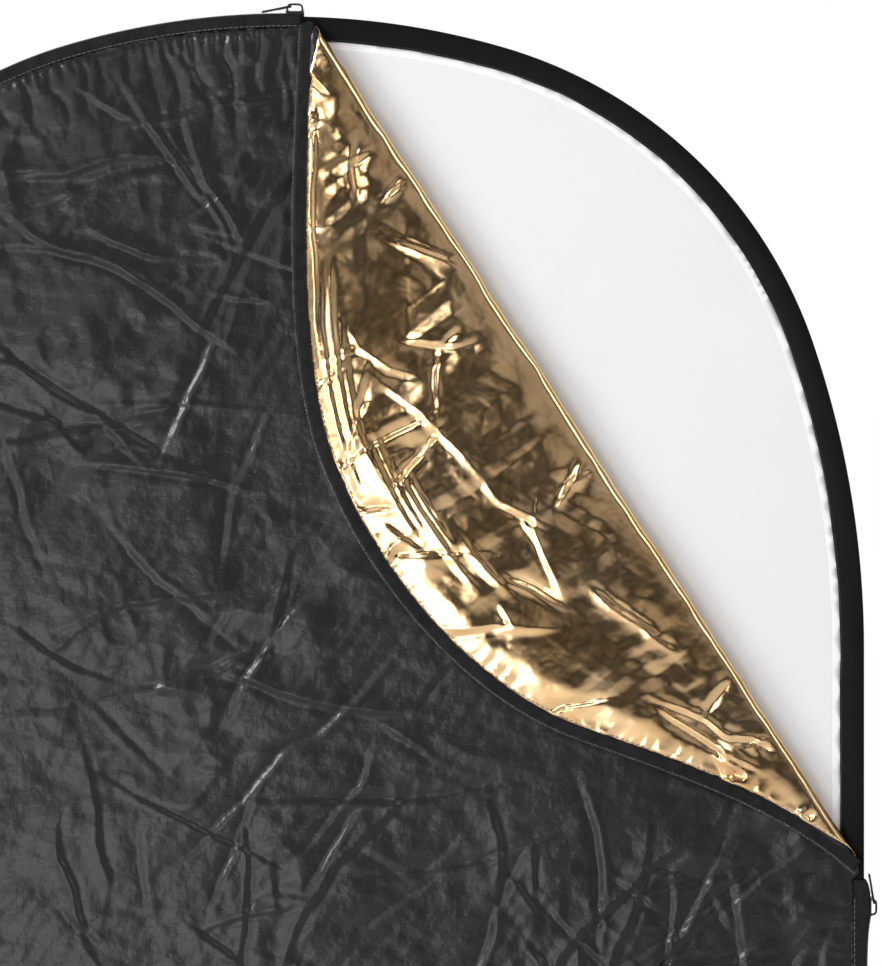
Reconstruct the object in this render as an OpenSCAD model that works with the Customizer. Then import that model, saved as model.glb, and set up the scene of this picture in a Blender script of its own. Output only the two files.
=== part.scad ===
// Collapsible oval reflector: a spring-steel hoop in a satin sleeve carries a white diffuser,
// and a zip-on cover of two double-faced panels goes over it. One corner of the front panel is
// unzipped and folded back, which shows its metallic lining.
// Frame: millimetres, +Z up the long axis, -Y the front, origin at the centre of the oval.
// Profiles are drawn in (u, v): u outwards from the nominal outline, v towards the front.

/* [Outline] */
// Width of the open oval
disc_w = 600; // [590:1:610]
// Height of the open oval
disc_h = 900; // [880:1:920]
// Radius of the rounded top and bottom
end_r = 403.5; // [398.5:2.5:408.5]
// Radius of the tight shoulder arcs
shoulder_r = 241; // [239:0.5:243]

/* [Hoop and sleeve] */
// Width of the spring band, front to back
band_w = 5.2; // [4:0.1:5.2]
// Thickness of the spring band
band_t = 0.8; // [0.5:0.1:0.8]
// Width of the sleeve across the rim
sleeve_w = 13; // [11:0.5:16]
// Length of the crimped ferrule that joins the band's ends
ferrule_l = 26; // [16:2:40]

/* [Fold] */
// Direction of the fold's normal above horizontal
fold_deg = 33; // [31:0.5:35]
// Distance of the fold line from the centre
fold_dist = 251.5; // [250:0.5:252]
// How far the folded flap leans back onto the panel
flap_tilt_deg = 1.5; // [1:0.1:1.6]

/* [Zip] */
// Opening angle of the zip, right of the top centre
zip_top_deg = 1.1; // [1:0.1:1.3]
// Height at which the zip opens on the right side
zip_side_z = -7; // [-9:1:-5]
// Visible width of the zip tape on each face
tape_w = 6.5; // [6:0.5:8]
// Length of each slider
slider_l = 10; // [9:0.5:11]
// Place of the top slider, right of the top centre
top_slider_deg = 0.6; // [0.4:0.1:0.8]
// Height of the side slider
side_slider_z = -12.5; // [-15:0.5:-12]
// Length of a pull, from its pivot to its tip
pull_l = 15.5; // [14:0.5:17]
// Slope of the top pull, resting on the zip
top_pull_deg = 12; // [11:0.5:14]
// Slope of the side pull, resting on the zip
side_pull_deg = 10; // [9:0.5:10.5]

/* [Hidden] */
$fn = 240;

// Outline: arcs meet where their radii point along these ways, of the 7-24-25 and 12-35-37
// triangles, so that the centres come out as round numbers and the joints are exact
end_way = 50 * [7, 24];
side_way = 37 * [35, 12];
across = [1250, 0];
end_c = [0, disc_h / 2 - end_r];
shoulder_c = end_c + (end_r - shoulder_r) * end_way / norm(end_way);
side_cos = side_way.x / norm(side_way);
side_r = (disc_w / 2 - shoulder_c.x - shoulder_r * side_cos) / (1 - side_cos);
side_c = shoulder_c - (side_r - shoulder_r) * side_way / norm(side_way);
half_w = disc_w / 2;
flat_z = side_c.y;

// Thickness of one sheet of cover cloth, and its levels in front of the middle plane
sheet_t = 0.5;
lining_v = 3.8;
outer_v = 4.4;
// The zip tape: thickness, outer corner and the level of its flat band
tape_t = 0.35;
tape_v = 5.5;
tape_corner = [-0.95, 4.2];
tape_corner_r = 1.3;
tape_gap = 0.45;
// Where the cover sheets end inside the nominal outline
sheet_inset = 5;
// The coil on the tape's edge
coil_in = 0.4;
coil_out = 1.3;
coil_v = [0.4, 2.3];
// The open tape behind the rim: its outer edge, where its coil starts, and its width
open_tape_edge = -1.6;
open_tape_w = 9.9;
// The sleeve: its outer corners and its cloth
sleeve_corner = [-1.8, 2.4];
sleeve_corner_r = 1.2;
sleeve_t = 0.5;
sleeve_lean = 13;
// The band stands inside the sleeve
band_u = -1.35;
// The diffuser is held in the sleeve's mouth
diffuser_t = 0.4;
mouth_grip = 2;
// The fold: its normal, its hinge level and the gap on each side of it
fold_n = [cos(fold_deg), sin(fold_deg)];
fold_v = 7.5;
fold_gap = 0.3;
// The bottom tab over the ends of the zip
tab_half_deg = 1.2;
stop_deg = 0.25;
// Slider: plate, flange and bridge sizes
plate_half_w = 3.3;
plate_low = [-0.52, -0.12];
plate_high = [1.5, 2.2];
flange_in = 2.6;
flange_low = 0.5;
post_l = 2.5;
post_w = 0.4;
bridge_half_w = 1.2;
bridge_top = 6.3;
pivot = [-2.2, 4.7];
pivot_r = 0.45;
pull_half_w = 2.6;
pull_t = 1;
// Large enough to cut right across the object
beyond = 1200;

// ---- outline ----

function reverse(list) = [for (i = [len(list) - 1 : -1 : 0]) list[i]];

// A way at an angle from +X towards +Z, long enough to reach past the outline
function way(deg) = 1250 * [cos(deg), sin(deg)];
open_way = way(90 - zip_top_deg);
flip_x = [[-1, 0], [0, 1]];
flip_z = [[1, 0], [0, -1]];
function flipped(arcs, flip) =
    [for (a = reverse(arcs)) [flip * a[0], a[1], flip * a[3], flip * a[2]]];

// The arcs of one stretch: [centre, radius, first way, last way], counter-clockwise from the front
quarter = [
    [side_c, side_r, across, side_way],
    [shoulder_c, shoulder_r, side_way, end_way]
];
open_arcs = concat(quarter, [[end_c, end_r, end_way, open_way]]);
closed_left_arcs = concat([[end_c, end_r, open_way, flip_x * end_way]],
                          flipped(quarter, flip_x),
                          flipped(flipped(quarter, flip_z), flip_x));
closed_right_arcs = flipped(quarter, flip_z);
bottom_arc = [[-end_c, end_r, -end_way, flip_z * end_way]];
closed_arcs = concat(closed_left_arcs, bottom_arc, closed_right_arcs);
// The straight stretches: [side, lowest z, highest z]
left_line = [[-1, -flat_z, flat_z]];
open_line = [[1, zip_side_z, flat_z]];
closed_right_line = [[1, -flat_z, zip_side_z]];

// Sweeps a (u, v) profile along arcs and straight stretches of the outline
module sweep(arcs, lines) {
    for (a = arcs)
        translate([a[0].x, 0, a[0].y])
            rotate([90, 0, 0])
                intersection() {
                    rotate_extrude()
                        translate([a[1], 0])
                            children();
                    linear_extrude(4 * tape_v, center = true)
                        polygon([[0, 0], a[2], a[3]]);
                }
    for (s = lines)
        translate([s[0] * half_w, 0, s[1]])
            linear_extrude(s[2] - s[1])
                scale([s[0], -1])
                    children();
}

module sweep_closed() {
    sweep(closed_arcs, concat(left_line, closed_right_line)) children();
}

module sweep_open() {
    sweep(open_arcs, open_line) children();
}

module sweep_all() {
    sweep(concat(open_arcs, closed_arcs), concat(left_line, open_line, closed_right_line))
        children();
}

// Points along an arc, both ends included
function arc(c, r, a0, a1, n) =
    [for (i = [0 : n]) c + r * [cos(a0 + (a1 - a0) * i / n), sin(a0 + (a1 - a0) * i / n)]];

function turn(way) = atan2(way.y, way.x) + (way.y < 0 ? 360 : 0);

// The oval as points, moved in by inset
function oval(inset) =
    [for (a = concat(open_arcs, closed_arcs))
        let (a0 = turn(a[2]), a1 = turn(a[3]) + (turn(a[3]) < turn(a[2]) ? 360 : 0))
        each arc(a[0], a[1] - inset, a0, a1, ceil((a1 - a0) / 2.5))];

// A flat sheet in the plane of the oval, from level v0 to level v1
module flat_sheet(v0, v1) {
    translate([0, -v0, 0])
        rotate([90, 0, 0])
            linear_extrude(v1 - v0)
                children();
}

// ---- profiles ----

function mirror_v(points) = [for (i = [len(points) - 1 : -1 : 0]) [points[i].x, -points[i].y]];

// Half of the sleeve's outline: from its inner edge round the outer corner
function sleeve_half(r) =
    concat([[-sleeve_w, sleeve_corner.y + r / cos(sleeve_lean)
                        - (sleeve_w + sleeve_corner.x) * tan(sleeve_lean)]],
           arc(sleeve_corner, r, 90 + sleeve_lean, 0, 4));

// A strip folded round the band, open towards the diffuser
module sleeve_profile() {
    outer = sleeve_half(sleeve_corner_r);
    inner = sleeve_half(sleeve_corner_r - sleeve_t);
    polygon(concat(outer, mirror_v(outer), reverse(concat(inner, mirror_v(inner)))));
}

// A rectangle between two corners
module slab(low, high) {
    translate(low) square(high - low);
}

module band_profile() {
    slab([band_u - band_t, -band_w / 2], [band_u, band_w / 2]);
}

module ferrule_profile() {
    chamfer = [0.25, 0.45];
    low = [-2.4, -2.9];
    high = [-1.15, 2.9];
    clear = 0.02;
    difference() {
        polygon([low, [high.x - chamfer.x, low.y], [high.x, low.y + chamfer.y],
                 [high.x, high.y - chamfer.y], [high.x - chamfer.x, high.y], [low.x, high.y]]);
        slab([band_u - band_t - clear, -band_w / 2 - clear], [band_u + clear, band_w / 2 + clear]);
    }
}

// Zip tape closed round the rim: a flat band on the face, a round corner and the outer wall
module tape_profile() {
    polygon(concat([[-tape_w, tape_v]],
                   arc(tape_corner, tape_corner_r, 90, 0, 4),
                   [[tape_corner.x + tape_corner_r, tape_gap],
                    [tape_corner.x + tape_corner_r - tape_t, tape_gap]],
                   arc(tape_corner, tape_corner_r - tape_t, 0, 90, 4),
                   [[-tape_w, tape_v - tape_t]]));
}

// Open zip tape behind the rim, lying flat
module open_tape_profile() {
    slab([open_tape_edge - open_tape_w, -tape_v], [open_tape_edge, tape_t - tape_v]);
}

module coil_profile() {
    slab([coil_in, coil_v[0]], [coil_out, coil_v[1]]);
}

module thread_profile(u, v) {
    slab([u - 0.2, v], [u + 0.2, v + 0.3]);
}

// ---- fold and flap ----

// Distance of a point from the fold line, positive on the panel's side
function from_fold(p) = fold_dist - p * fold_n;

// The foot of a point on the flap's side of the fold line
function foot(p) = p + (from_fold(p) - fold_gap) * fold_n;

function bezier(p, t) =
    pow(1 - t, 3) * p[0] + 3 * pow(1 - t, 2) * t * p[1] + 3 * (1 - t) * t * t * p[2]
    + pow(t, 3) * p[3];

// The flap's free edge, slack and gathered, as three curves from the top slider to the side
free_edge_curves = [
    [[8, 446], [4, 370], [-4, 262], [24, 206]],
    [[24, 206], [40, 166], [88, 98], [150, 76]],
    [[150, 76], [200, 58], [262, 38], [296, 4]]
];
curve_steps = 14;
function free_edge() =
    concat([for (c = free_edge_curves) for (i = [0 : curve_steps - 1]) bezier(c, i / curve_steps)],
           [free_edge_curves[2][3]]);

// The free edge moved in towards the fold
function edge_inset(d) =
    let (p = free_edge(), last = len(p) - 1)
    [for (i = [0 : last])
        let (way = p[min(i + 1, last)] - p[max(i - 1, 0)], n = [-way.y, way.x] / norm(way))
        p[i] + d * n];

// Leans the flap back about the fold's hinge line
module lean() {
    hinge = [fold_dist * fold_n.x, -fold_v, fold_dist * fold_n.y];
    translate(hinge)
        rotate(a = -flap_tilt_deg, v = [-fold_n.y, 0, fold_n.x])
            translate(-hinge)
                children();
}

// Everything beyond the fold line, less the gap
module beyond_fold(gap) {
    rotate([0, -fold_deg, 0])
        translate([fold_dist - gap, -beyond / 2, -beyond])
            cube([beyond, beyond, 2 * beyond]);
}

// One cloth sheet of the flap
module flap_sheet(v0) {
    edge = [for (p = edge_inset(sheet_inset)) if (from_fold(p) > 1) p];
    lean()
        flat_sheet(v0, v0 + sheet_t)
            polygon(concat(edge, [foot(edge[len(edge) - 1]), foot(edge[0])]));
}

// A strip of the flap between two distances in from its free edge
module flap_strip(d0, d1, v0, v1) {
    lean()
        difference() {
            flat_sheet(v0, v1)
                polygon(concat(edge_inset(d0), reverse(edge_inset(d1))));
            beyond_fold(fold_gap);
        }
}

// One cloth sheet of the front panel, cut off at the fold
module front_sheet(v0) {
    difference() {
        flat_sheet(v0, v0 + sheet_t)
            polygon(oval(sheet_inset));
        beyond_fold(fold_gap);
    }
}

// ---- sliders: local x along the zip, y to the back, z outwards ----

module on_top() {
    translate([0, 0, end_c.y])
        rotate([0, top_slider_deg, 0])
            translate([0, 0, end_r])
                children();
}

module on_side() {
    translate([half_w, 0, side_slider_z])
        rotate([0, 90, 0])
            children();
}

// Two plates and a post in the mouth; the mouth faces +x or -x
module slider_body(mouth) {
    for (z = [plate_low, plate_high])
        translate([-slider_l / 2, -plate_half_w, z[0]])
            cube([slider_l, 2 * plate_half_w, z[1] - z[0]]);
    for (y = [-plate_half_w, flange_in])
        translate([-slider_l / 2, y, flange_low])
            cube([slider_l, plate_half_w - flange_in, plate_high[0] - flange_low]);
    translate([mouth * (slider_l - post_l) / 2 - post_l / 2, -post_w / 2, plate_low[0]])
        cube([post_l, post_w, plate_high[1] - plate_low[0]]);
}

// The arch that the pull hangs on
module slider_bridge() {
    foot_half = 4.2;
    head_half = 3;
    wall = 1;
    rotate([90, 0, 0])
        linear_extrude(2 * bridge_half_w, center = true)
            difference() {
                polygon([[-foot_half, plate_high[1]], [foot_half, plate_high[1]],
                         [head_half + 0.6, bridge_top - 0.5], [head_half, bridge_top],
                         [-head_half, bridge_top], [-head_half - 0.6, bridge_top - 0.5]]);
                slab([-head_half - 0.1, plate_high[1] + 0.6], [head_half + 0.1, bridge_top - wall]);
            }
}

// A flat pull with a cross bar, two arms and a rounded tab, lying towards -x
module slider_pull(slope) {
    arm_w = 1;
    arm_l = 6.5;
    translate([pivot.x, 0, pivot.y])
        rotate([0, -slope, 0]) {
            rotate([90, 0, 0])
                cylinder(r = pivot_r, h = 2 * pull_half_w - arm_w, center = true, $fn = 32);
            for (side = [-1, 1])
                translate([-arm_l - 0.5, side * (pull_half_w - arm_w / 2) - arm_w / 2, -pull_t / 2])
                    cube([arm_l + 1, arm_w, pull_t]);
            translate([pull_half_w - pull_l, -pull_half_w, -pull_t / 2])
                cube([pull_l - arm_l - pull_half_w, 2 * pull_half_w, pull_t]);
            translate([pull_half_w - pull_l, 0, 0])
                cylinder(r = pull_half_w, h = pull_t, center = true, $fn = 64);
        }
}

// ---- sub-parts ----

// Flat spring-steel hoop, on edge
module spring_band() {
    color("slategray") sweep_all() band_profile();
}

// Crimped ferrule round the band's joint, at the bottom
module band_ferrule() {
    half = ferrule_l / 2 / end_r * 180 / PI;
    color("silver") sweep([[-end_c, end_r, way(270 - half), way(270 + half)]], []) ferrule_profile();
}

// Black satin strip folded round the hoop and sewn to the diffuser
module rim_sleeve() {
    color([0.04, 0.04, 0.045]) sweep_all() sleeve_profile();
}

// Row of stitches along the sleeve's inner edge
module sleeve_thread() {
    color([0.1, 0.1, 0.1]) sweep_all() thread_profile(0.8 - sleeve_w, 1.35);
}

// Translucent white cloth, gripped in the sleeve's mouth
module diffuser_panel() {
    color([0.93, 0.93, 0.94])
        flat_sheet(-diffuser_t / 2, diffuser_t / 2)
            polygon(oval(sleeve_w - mouth_grip));
}

// The diffuser's turned-in edge, just inside the sleeve
module diffuser_hem() {
    color("white") sweep_all() slab([-sleeve_w - 3.7, -0.55], [-sleeve_w - 0.1, -0.25]);
}

// Black face of the front panel
module front_outer() {
    color([0.16, 0.16, 0.17]) front_sheet(outer_v);
}

// Gold face of the front panel
module front_lining() {
    color([0.75, 0.55, 0.3]) front_sheet(lining_v);
}

// Front half of the zip tape, along the stretch that is zipped
module front_tape() {
    color([0.09, 0.09, 0.09]) sweep_closed() tape_profile();
}

// Front coil, in two runs that start at the bottom tab
module front_coil() {
    color([0.05, 0.05, 0.05]) zipped_coil() coil_profile();
}

// The zipped runs of coil: from the tab up the left side, and up the right side
module zipped_coil() {
    left_end = way(270 - tab_half_deg - stop_deg);
    right_end = way(270 + tab_half_deg + stop_deg);
    sweep(concat(closed_left_arcs, [[-end_c, end_r, -end_way, left_end]]), left_line)
        children();
    sweep(concat(closed_right_arcs, [[-end_c, end_r, right_end, flip_z * end_way]]),
          closed_right_line)
        children();
}

// Row of stitches that holds the front panel to its tape
module front_thread() {
    color([0.3, 0.3, 0.3]) sweep_closed() thread_profile(-5.8, tape_v + 0.05);
}

// Silver face of the back panel
module back_outer() {
    color([0.72, 0.73, 0.75])
        flat_sheet(-outer_v - sheet_t, -outer_v) polygon(oval(sheet_inset));
}

// White face of the back panel
module back_lining() {
    color([0.95, 0.95, 0.95])
        flat_sheet(-lining_v - sheet_t, -lining_v) polygon(oval(sheet_inset));
}

// Back half of the zip tape, all the way round, lying flat where the zip is open
module back_tape() {
    color([0.09, 0.09, 0.09]) {
        sweep_closed() mirror([0, 1]) tape_profile();
        sweep_open() open_tape_profile();
    }
}

// Back coil, meshed where it is zipped and on the flat tape's edge where it is open
module back_coil() {
    low = [open_tape_edge + 0.05, 0.05 - tape_v];
    color([0.05, 0.05, 0.05]) {
        zipped_coil() mirror([0, 1]) coil_profile();
        sweep_open() slab(low, low + (coil_out - coil_in) * [1, 1]);
    }
}

// Row of stitches that holds the back panel to its tape, sunk beside the tape's inner edge
module back_thread() {
    level = outer_v + sheet_t + 0.05;
    color([0.3, 0.3, 0.3]) {
        sweep_closed() mirror([0, 1]) thread_profile(-tape_w - 0.3, level);
        sweep_open() mirror([0, 1]) thread_profile(open_tape_edge - open_tape_w - 0.3, level);
    }
}

// Cloth tab over the two ends of the zip, at the bottom: sewn to the front and down over the edge
module zip_end_tab() {
    corner = tape_corner;
    cloth = 0.4;
    outer_r = 2.4;
    outer = concat([[-7.5, corner.y + outer_r]], arc(corner, outer_r, 90, 0, 4));
    inner = concat([[-7.5, corner.y + outer_r - cloth]], arc(corner, outer_r - cloth, 90, 0, 4));
    hem = [[corner.x + outer_r, -corner.y], [corner.x + outer_r - cloth, -corner.y]];
    color([0.08, 0.08, 0.08])
        sweep([[-end_c, end_r, way(270 - tab_half_deg), way(270 + tab_half_deg)]], [])
            polygon(concat(outer, hem, reverse(inner)));
}

// Crimped stops at the lower ends of both runs of coil, just outside the tab
module zip_end_stops() {
    color("dimgray")
        for (start = [270 - tab_half_deg - stop_deg + 0.03, 270 + tab_half_deg + 0.03])
            sweep([[-end_c, end_r, way(start), way(start + stop_deg - 0.06)]], [])
                slab([coil_in, -coil_v[1]], [coil_out + 0.2, coil_v[1]]);
}

// Levels of the folded flap are the front panel's, mirrored about the hinge line
module flap_outer() {
    color([0.16, 0.16, 0.17]) flap_sheet(2 * fold_v - outer_v - sheet_t);
}

// Gold face of the flap, to the front while it is folded back
module flap_lining() {
    color([0.75, 0.55, 0.3]) flap_sheet(2 * fold_v - lining_v - sheet_t);
}

// Zip tape along the flap's free edge
module flap_tape() {
    v = 2 * fold_v - tape_v;
    color([0.09, 0.09, 0.09]) flap_strip(0, tape_w, v, v + tape_t);
}

// Coil along the flap's free edge, on the face that is outside when it is zipped
module flap_coil() {
    v = 2 * fold_v - tape_v - 0.05;
    color([0.05, 0.05, 0.05]) flap_strip(-1, 0.9, v - 0.9, v);
}

// Row of stitches that holds the flap to its tape
module flap_thread() {
    v = 2 * fold_v - lining_v + 0.05;
    color([0.3, 0.3, 0.3]) flap_strip(5.4, 5.8, v, v + 0.3);
}

module top_slider_body() {
    color([0.07, 0.07, 0.07]) on_top() slider_body(1);
}

module top_slider_bridge() {
    color([0.1, 0.1, 0.1]) on_top() slider_bridge();
}

module top_slider_pull() {
    color([0.12, 0.12, 0.12]) on_top() slider_pull(top_pull_deg);
}

module side_slider_body() {
    color([0.07, 0.07, 0.07]) on_side() slider_body(-1);
}

module side_slider_bridge() {
    color([0.1, 0.1, 0.1]) on_side() slider_bridge();
}

module side_slider_pull() {
    color([0.12, 0.12, 0.12]) on_side() slider_pull(side_pull_deg);
}

spring_band();
band_ferrule();
rim_sleeve();
sleeve_thread();
diffuser_panel();
diffuser_hem();
front_outer();
front_lining();
front_tape();
front_coil();
front_thread();
back_outer();
back_lining();
back_tape();
back_coil();
back_thread();
zip_end_tab();
zip_end_stops();
flap_outer();
flap_lining();
flap_tape();
flap_coil();
flap_thread();
top_slider_body();
top_slider_bridge();
top_slider_pull();
side_slider_body();
side_slider_bridge();
side_slider_pull();
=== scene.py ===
"""Looks of the collapsible oval reflector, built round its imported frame.

Units: metres in Blender; all the shape code below works in millimetres and is scaled once, in
piece(). Frame: +Z up the long axis, -Y the front. Rim profiles are (u, v): u outwards from the
nominal outline, v towards the front.
"""
import math

import bmesh
import bpy
import numpy as np
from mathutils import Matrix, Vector
from mathutils.geometry import delaunay_2d_cdt
from mathutils.kdtree import KDTree


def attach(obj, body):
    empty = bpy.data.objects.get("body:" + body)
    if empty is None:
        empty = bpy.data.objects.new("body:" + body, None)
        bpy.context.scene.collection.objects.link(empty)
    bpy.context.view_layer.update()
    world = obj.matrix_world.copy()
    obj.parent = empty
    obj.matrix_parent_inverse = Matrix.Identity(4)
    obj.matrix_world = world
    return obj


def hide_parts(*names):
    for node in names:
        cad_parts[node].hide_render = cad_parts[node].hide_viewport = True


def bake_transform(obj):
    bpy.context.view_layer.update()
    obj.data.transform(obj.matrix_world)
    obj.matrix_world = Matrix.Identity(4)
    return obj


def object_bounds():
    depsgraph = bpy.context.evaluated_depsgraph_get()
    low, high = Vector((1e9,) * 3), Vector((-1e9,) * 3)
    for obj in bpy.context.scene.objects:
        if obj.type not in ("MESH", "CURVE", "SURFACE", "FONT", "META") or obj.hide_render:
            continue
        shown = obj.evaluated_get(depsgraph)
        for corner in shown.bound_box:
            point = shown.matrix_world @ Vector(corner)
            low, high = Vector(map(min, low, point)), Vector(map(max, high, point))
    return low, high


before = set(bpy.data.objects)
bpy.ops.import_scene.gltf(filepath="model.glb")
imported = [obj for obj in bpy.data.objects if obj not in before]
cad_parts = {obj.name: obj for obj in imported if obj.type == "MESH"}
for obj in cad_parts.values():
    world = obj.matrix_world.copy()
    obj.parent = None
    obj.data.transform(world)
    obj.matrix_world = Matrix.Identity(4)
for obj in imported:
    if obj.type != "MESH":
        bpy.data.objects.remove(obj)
CAD_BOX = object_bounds()
MM = 0.001

# ---------------------------------------------------------------- sizes in mm, the CAD's and the cloth's

END_R, END_C, END_HALF = 403.5, (0.0, 46.5), math.atan2(7, 24)
SHOULDER_R, SHOULDER_C = 241.0, (45.5, 202.5)
SIDE_R, SIDE_C, SIDE_TURN = 490.75, (-190.75, 121.5), math.atan2(12, 35)
FLAT_Z = 121.5
HALF_WIDTH = 300.0
ZIP_TOP_S = END_R * math.radians(1.1)
ZIP_SIDE_Z = -7.0
SHEET_INSET = 5.5
HEM_DEPTH = 16.95
COVER_V, LINING_V = 4.75, 3.85
FOLD_N = np.array([math.cos(math.radians(33)), math.sin(math.radians(33))])
FOLD_T = np.array([-FOLD_N[1], FOLD_N[0]])
FOLD_DIST, FOLD_V = 251.5, 7.5
FLAP_TILT = math.radians(1.5)
FLAP_SLOPE = 0.0262       # how fast the flap comes nearer the panel, away from the fold
ROLL_LEAD = 3.0
FREE_EDGE_LENGTH = 560     # about; it only spaces the gathers
FREE_EDGE_CURVES = (
    ((8, 446), (4, 370), (-4, 262), (24, 206)),
    ((24, 206), (40, 166), (88, 98), (150, 76)),
    ((150, 76), (200, 58), (262, 38), (296, 4)),
)
TAPE_V, TAPE_T = 5.32, 0.35
TAPE_LEAD = 9.0
TOOTH_PITCH = 1.2
STITCH_PITCH, STITCH = 2.8, (2.1, 0.17)     # a zip stitch's length and radius
SLIDER_TOP_DEG, SLIDER_SIDE_Z = 0.6, -12.5
BOTTOM_TAB_DEG = 1.2

# ---------------------------------------------------------------- outline of the oval


def quarter_outline(step=0.5):
    """Points and outward normals clockwise from the top centre to the right-hand side."""
    rows = []
    arcs = (
        (END_C, END_R, math.pi / 2, math.pi / 2 - END_HALF),
        (SHOULDER_C, SHOULDER_R, math.pi / 2 - END_HALF, SIDE_TURN),
        (SIDE_C, SIDE_R, SIDE_TURN, 0.0),
    )
    for centre, radius, start, end in arcs:
        count = int(abs(start - end) * radius / step)
        for a in np.linspace(start, end, count, endpoint=False):
            c, s = math.cos(a), math.sin(a)
            rows.append((centre[0] + radius * c, centre[1] + radius * s, c, s))
    for z in np.linspace(FLAT_Z, 0, int(FLAT_Z / step) + 1):
        rows.append((HALF_WIDTH, z, 1.0, 0.0))
    return np.array(rows)


def full_outline():
    quarter = quarter_outline()
    lower = quarter[-2::-1] * [1, -1, 1, -1]
    right = np.concatenate([quarter, lower])
    left = right[-2:0:-1] * [-1, 1, -1, 1]
    return np.concatenate([right, left])


def run_lengths(line):
    """Length along a line at each of its points."""
    return np.concatenate([[0], np.cumsum(np.linalg.norm(np.diff(line, axis=0), axis=1))])


OUTLINE = full_outline()
CLOSED_OUTLINE = np.concatenate([OUTLINE, OUTLINE[:1]])
OUTLINE_S = run_lengths(CLOSED_OUTLINE[:, :2])
ROUND = OUTLINE_S[-1]
ZIP_SIDE_S = ROUND / 4 - ZIP_SIDE_Z
CLOSED_END_S = ROUND + ZIP_TOP_S


def rim(s):
    """Outline point and outward normal at arc length s, clockwise from the top centre."""
    s = np.mod(np.asarray(s, float), ROUND)
    x, z, nx, nz = (np.interp(s, OUTLINE_S, CLOSED_OUTLINE[:, i]) for i in range(4))
    size = np.hypot(nx, nz)
    return x, z, nx / size, nz / size


def rim_points(s, u, v):
    """World points in mm, for arrays of s and profile coordinates that broadcast with it."""
    x, z, nx, nz = rim(s)
    shape = np.broadcast(np.asarray(s), u, v).shape
    return np.stack([np.broadcast_to(x + nx * u, shape), np.broadcast_to(-np.asarray(v, float), shape),
                     np.broadcast_to(z + nz * u, shape)], axis=-1)


def rim_inset(s, inset):
    """Points (x, z) of the outline at s, moved in by inset."""
    x, z, nx, nz = rim(s)
    return np.stack([x - inset * nx, z - inset * nz], 1)


def stretch(start, end, step):
    return np.linspace(start, end, max(2, int(round(abs(end - start) / step)) + 1))


# ---------------------------------------------------------------- number helpers


def smooth(t, low=0.0, high=1.0):
    t = np.clip((np.asarray(t, float) - low) / (high - low), 0, 1)
    return t * t * (3 - 2 * t)


def unit(vectors):
    return vectors / np.linalg.norm(vectors, axis=-1, keepdims=True)


def left_of(way):
    """Directions of a plane, turned a quarter to the left."""
    return np.stack([-way[..., 1], way[..., 0]], -1)


def turns(sides):
    return np.arange(sides) * 2 * math.pi / sides


def arc(centre, radius, start, end, count):
    return [(centre[0] + radius * math.cos(a), centre[1] + radius * math.sin(a))
            for a in np.linspace(start, end, count)]


def walk(line, distance):
    """Points at distances along a line."""
    run = run_lengths(line)
    return np.stack([np.interp(distance, run, line[:, 0]), np.interp(distance, run, line[:, 1])], 1)


def lattice(ix, iy, seed):
    """A repeatable random number from -1 to 1 for each whole-number place."""
    h = (ix.astype(np.int64) * 374761393 + iy.astype(np.int64) * 668265263 + seed * 1442695041) & 0xFFFFFFFF
    h = ((h ^ (h >> 13)) * 1274126177) & 0xFFFFFFFF
    return ((h ^ (h >> 16)) & 0xFFFF) / 32768.0 - 1.0


def noise(x, y, size, seed):
    """Smooth value noise from -1 to 1, with features about size mm across."""
    x, y = np.asarray(x, float) / size, np.asarray(y, float) / size
    ix, iy = np.floor(x), np.floor(y)
    fx, fy = smooth(x - ix), smooth(y - iy)
    low = lattice(ix, iy, seed) * (1 - fx) + lattice(ix + 1, iy, seed) * fx
    high = lattice(ix, iy + 1, seed) * (1 - fx) + lattice(ix + 1, iy + 1, seed) * fx
    return low * (1 - fy) + high * fy


def wobble(s, size, seed):
    """Noise along a single line."""
    return noise(s, 0 * s, size, seed)


def ridges(x, y, size, seed):
    """Crumple with sharp crests: 1 on a crest, -1 between."""
    wx = x + 0.5 * size * noise(x, y, 1.7 * size, seed + 11)
    wy = y + 0.5 * size * noise(x, y, 1.7 * size, seed + 12)
    return 1 - 2 * np.minimum(1, 1.8 * np.abs(noise(wx, wy, size, seed)))


def facets(x, z, size, seed):
    """Flat facets between straight sharp creases, as in crumpled film; roughly -1 to 1."""
    wx = x + 0.35 * size * noise(x, z, 2.1 * size, seed + 21)
    wz = z + 0.35 * size * noise(x, z, 2.1 * size, seed + 22)
    total = np.zeros_like(x)
    for k, (degrees, stretch_by) in enumerate(((22, 1.0), (88, 0.77), (149, 1.24))):
        a = math.radians(degrees + 9 * seed)
        t = (wx * math.cos(a) + wz * math.sin(a)) / (size * stretch_by) + 0.37 * k
        wave = 4 * np.abs(t - np.floor(t + 0.5)) - 1
        total += wave * smooth(noise(x, z, 1.9 * size, seed + 31 + k), -0.7, 0.5)
    return total / 2


def along_polyline(x, z, points):
    """Signed distance to a polyline, and how far along it the nearest point is, 0 to 1."""
    points = np.asarray(points, float)
    best = np.full(x.shape, 1e9)
    signed, share = np.zeros(x.shape), np.zeros(x.shape)
    lengths = np.linalg.norm(np.diff(points, axis=0), axis=1)
    starts = np.concatenate([[0], np.cumsum(lengths)])
    for i, length in enumerate(lengths):
        way = (points[i + 1] - points[i]) / length
        dx, dz = x - points[i, 0], z - points[i, 1]
        t = np.clip(dx * way[0] + dz * way[1], 0, length)
        ox, oz = dx - t * way[0], dz - t * way[1]
        far = np.hypot(ox, oz)
        near = far < best
        side = np.sign(way[0] * oz - way[1] * ox)
        best = np.where(near, far, best)
        signed = np.where(near, far * np.where(side == 0, 1, side), signed)
        share = np.where(near, (starts[i] + t) / starts[-1], share)
    return signed, share


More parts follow.
